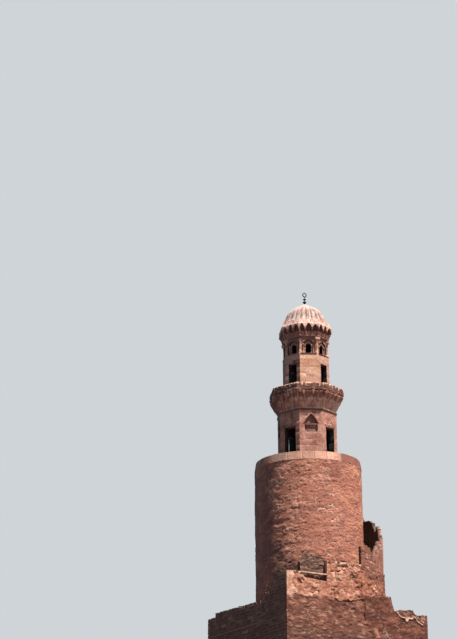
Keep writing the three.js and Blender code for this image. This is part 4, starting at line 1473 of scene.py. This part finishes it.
def low_wall_look(point, along):
    """Red plaster, with a patch of rubble in pale mortar on the broken wall's top."""
    x, z = REAL_AXIS + along, point.z
    wave = 0.14 * spread(point, 0.3, 0.3, 93)
    over = z + wave - height_on(PATCH_FOOT, x)
    gap, lift, shade = lumps(along, z, 0.2, 0.16, 94)
    rubble = (0.07 * lift, 0.3 + 0.7 * shade, 0.6 * eased(gap, 0.3, 0.1), 1.5 * (shade > 0.6), 0.5)
    look = mixed(red_plaster(point, along), rubble, eased(over, 0, 0.04))
    line = (0.07, 0.95 + 0.5 * wave, 0, 2.5, 0)
    look = mixed(look, line, eased(abs(over - 0.03), 0.06, 0.03) * eased(x, 2.3, 2.5))
    out, tint, joint, edge, soot_and_shade = look
    return out, (clamped(tint), clamped(joint), edge, soot_and_shade)


# Top of the spiral stair's outer wall, as azimuth and height: broken at the front
SPIRAL_TOPS = [
    (-180, 24.55), (10, 24.55), (13, 24.4), (16.5, 24.25), (19, 24.15), (21.5, 24.08), (25.5, 24.1),
    (28.5, 24.45), (32, 24.82), (36, 25.08), (40, 25.25), (47, 25.42), (52, 25.5), (61, 25.9), (65, 26.2),
    (69, 26.5), (78.5, 26.65), (80, 27.0), (87, 27.25), (94, 27.3), (97, 27.65), (150, 29.6),
    (175, SPIRAL_END_TOP), (190, SPIRAL_END_TOP),
]


def ragged(amount, width, seed):
    """Teeth of fallen and standing stones along a broken top."""

    def shift(along):
        tooth = chance(seed, math.floor(along / width + 0.3 * math.sin(along * 5)))
        return amount * (tooth - 0.6) + 0.3 * amount * noise.noise(Vector((along * 7, seed, 0)))

    return shift


def round_storey():
    wall = round_path(DRUM_RADIUS)
    whole = math.pi * DRUM_RADIUS
    heights = level(TERRACE), level(PLATFORM)
    worn_wall("drum_masonry", "drum", wall, (-whole, whole), DRUM_RADIUS - 0.02, heights, drum_look, "round")
    degree = math.radians(1) * DRUM_RADIUS
    span = -180 * degree, 165 * degree
    heights = level(PLATFORM), level(COPING_BOTTOM)
    worn_wall("rim_wall_masonry", "rim_wall", wall, span, RIM_THICKNESS, heights, drum_look, "round")


def spiral_walls():
    small, large = ragged(0.32, 0.16, 91), ragged(0.42, 0.22, 95)
    degree = math.radians(1) * SPIRAL_OUTER

    def top_at(along):
        azimuth = along / degree
        teeth = small(along) if azimuth < 55 else large(along)
        return height_on(SPIRAL_TOPS, azimuth) + teeth * eased(azimuth, 100, 60)

    for name, node, start, end, bottom in (
        ("spiral_front_masonry", "spiral_parapet_front", 10, 55, 23.5),
        ("spiral_right_masonry", "spiral_wall_right", 55.1, 119.9, TERRACE),
        ("spiral_back_masonry", "spiral_wall_back", 120.1, 185, TERRACE),
    ):
        span = start * degree, end * degree
        heights = level(bottom), top_at
        path = round_path(SPIRAL_OUTER)
        # Their inner faces get nearly full painted shade, as the narrow stair between them is unlit
        worn_wall(
            name, node, path, span, SPIRAL_THICKNESS, heights, spiral_look, "spiral", (0.05, 0.05), 0.95
        )
    radius = 4.2
    worn_wall(
        "spiral_end_wall", "spiral_wall_back", round_path(radius),
        (180 * math.radians(radius), 185 * math.radians(radius)), radius - DRUM_RADIUS - 0.05,
        (level(TERRACE), level(SPIRAL_END_TOP)), spiral_look, "spiral",
    )


def low_wall_path(along, out):
    """The front of the low wall. Its back follows the round facing until it is whole."""
    arc = math.sqrt((SPIRAL_OUTER + 0.01) ** 2 - min(along, 3) ** 2)
    thickness = -FRONT_Y - max(3.9, arc)
    taper = 0.068 * eased(along, 1.4, 0.86)
    return REAL_AXIS + along, FRONT_Y + min(taper - out, thickness - 0.002)


def terrace_front():
    gap_end = GAP_END - REAL_AXIS
    teeth = ragged(0.06, 0.22, 92)

    def wall(
        name, node, span, heights,
        look=block_look, path=front_path, depth=SPIRAL_THICKNESS, material="ashlar",
    ):
        worn_wall(name, node, path, span, depth, heights, look, material, FINE)

    def stump_top(along):
        x = along + REAL_AXIS
        if x < -3.9:
            return STUMP_TOP + teeth(along)
        return 22.74 - (x + 3.9) * 0.8 if x < -3.5 else 22.42 - (x + 3.5) * 0.08

    span = LEFT_X - REAL_AXIS, gap_end - 0.002
    wall("corner_stump_masonry", "corner_stump", span, (level(TERRACE), stump_top))
    span = -3.92 - REAL_AXIS, gap_end - 0.002
    heights = level(22.67), lambda along: 22.735 + 0.4 * teeth(along)
    wall("gap_ledge", "corner_stump", span, heights, ledge_look)
    span = gap_end, math.radians(55) * -FRONT_Y
    heights = level(TERRACE), lambda along: FACING_TOP - 0.02 + teeth(along)
    wall("front_facing_masonry", "front_facing_wall", span, heights)

    def rubble_path(along, out):
        x, y = front_path(along, 0)
        away = Vector((x - REAL_AXIS, y)) if along > 0 else Vector((0, -1))
        away.normalize()
        back = SPIRAL_THICKNESS + 0.002 - out
        return x - away.x * back, y - away.y * back

    tops = [(-3.6, 23.3), (-3.42, 23.66), (-3.1, 23.86), (-1.95, 23.66), (-1.8, 23.45), (0, 23.45)]
    broken = ragged(0.14, 0.2, 96)

    def rubble_top(along):
        x = along + REAL_AXIS
        return height_on(tops, x) + broken(along) * (x < -1.9)

    span = -3.6 - REAL_AXIS, math.radians(10) * -FRONT_Y
    heights = level(TERRACE), rubble_top
    wall("rubble_backing", "rubble_backing_wall", span, heights, rubble_look, rubble_path, 0.33, "rubble")


# Top of the low wall on the front, as x and height
LOW_WALL_TOP = [
    (0.5, 21.74), (1.83, 21.85), (2.2, 21.87), (2.33, 21.38), (2.43, 21.06), (2.8, 21.16), (3.66, 21.23),
    (3.85, 20.98), (RIGHT_X, 21.02),
]


def front_of_storey():
    """The rough top of the square storey's front, and the low wall over it."""
    broken = ragged(0.5, 0.3, 97)
    worn_wall(
        "storey_front_skin", "square_storey", lambda along, out: (REAL_AXIS + along, FRONT_Y - out),
        (LEFT_X - REAL_AXIS, RIGHT_X - REAL_AXIS), 0.12,
        (lambda along: FRONT_SKIN_BOTTOM - 0.4 + broken(along), level(TERRACE - 0.002)),
        block_look, "ashlar", MEDIUM,
    )
    teeth = ragged(0.05, 0.15, 98)
    worn_wall(
        "low_wall_masonry", "terrace_parapet_front", low_wall_path,
        (LOW_WALL_TOP[0][0] - REAL_AXIS, RIGHT_X - REAL_AXIS), 0.45,
        (level(TERRACE), lambda along: height_on(LOW_WALL_TOP, REAL_AXIS + along) + teeth(along)),
        low_wall_look, "ashlar", MEDIUM,
    )


def dress_all():
    dress("square_storey", "storey", "storey", reshape=sink_front, tone=storey_tone)
    dress("terrace_parapet_right", "storey", "storey", tone=storey_tone)
    front_of_storey()
    for node in ("stair_wall_front", "stair_wall_right", "stair_wall_left", "stair_wall_back"):
        dress(node, "walls", "storey")
    dress("top_landing_end_wall", "walls", "storey")
    for node in ("terrace_parapet_left", "terrace_parapet_back_right", "terrace_parapet_back_left"):
        dress(node, "storey", "storey")
    terrace_front()
    for side in ("left", "front", "right", "back"):
        dress(f"stair_flight_{side}", "steps", "steps")
    for side in ("front", "right", "back"):
        dress(f"spiral_steps_{side}", "steps", "steps", is_round=True)
    spiral_walls()
    round_storey()
    dress("rim_coping", "coping", "coping", is_round=True, reshape=lean_coping, tone=coping_tone)
    for node in ("lower_octagon_plinth", "lower_octagon_door_heads"):
        dress(node, "fine", "peach", inside=under_roof, tone=octagon_tone)
    dress("lantern_window_band", "panel", "panel", inside=under_roof, tone=lantern_tone)
    for number in range(1, 5):
        dress(f"lower_octagon_pier_{number}", "fine", "peach", inside=under_roof, tone=octagon_tone)
        dress(f"lantern_pier_{number}", "panel", "panel", inside=under_roof, tone=lantern_tone)
    dome_skin()
    cornice_skin()
    flare_skin()
    floor_and_kerb_skins()
    pendants()
    lantern_details()
    octagon_details()
    finial_skin()


stand_camera()
light_scene()
lay_floor()
dress_all()
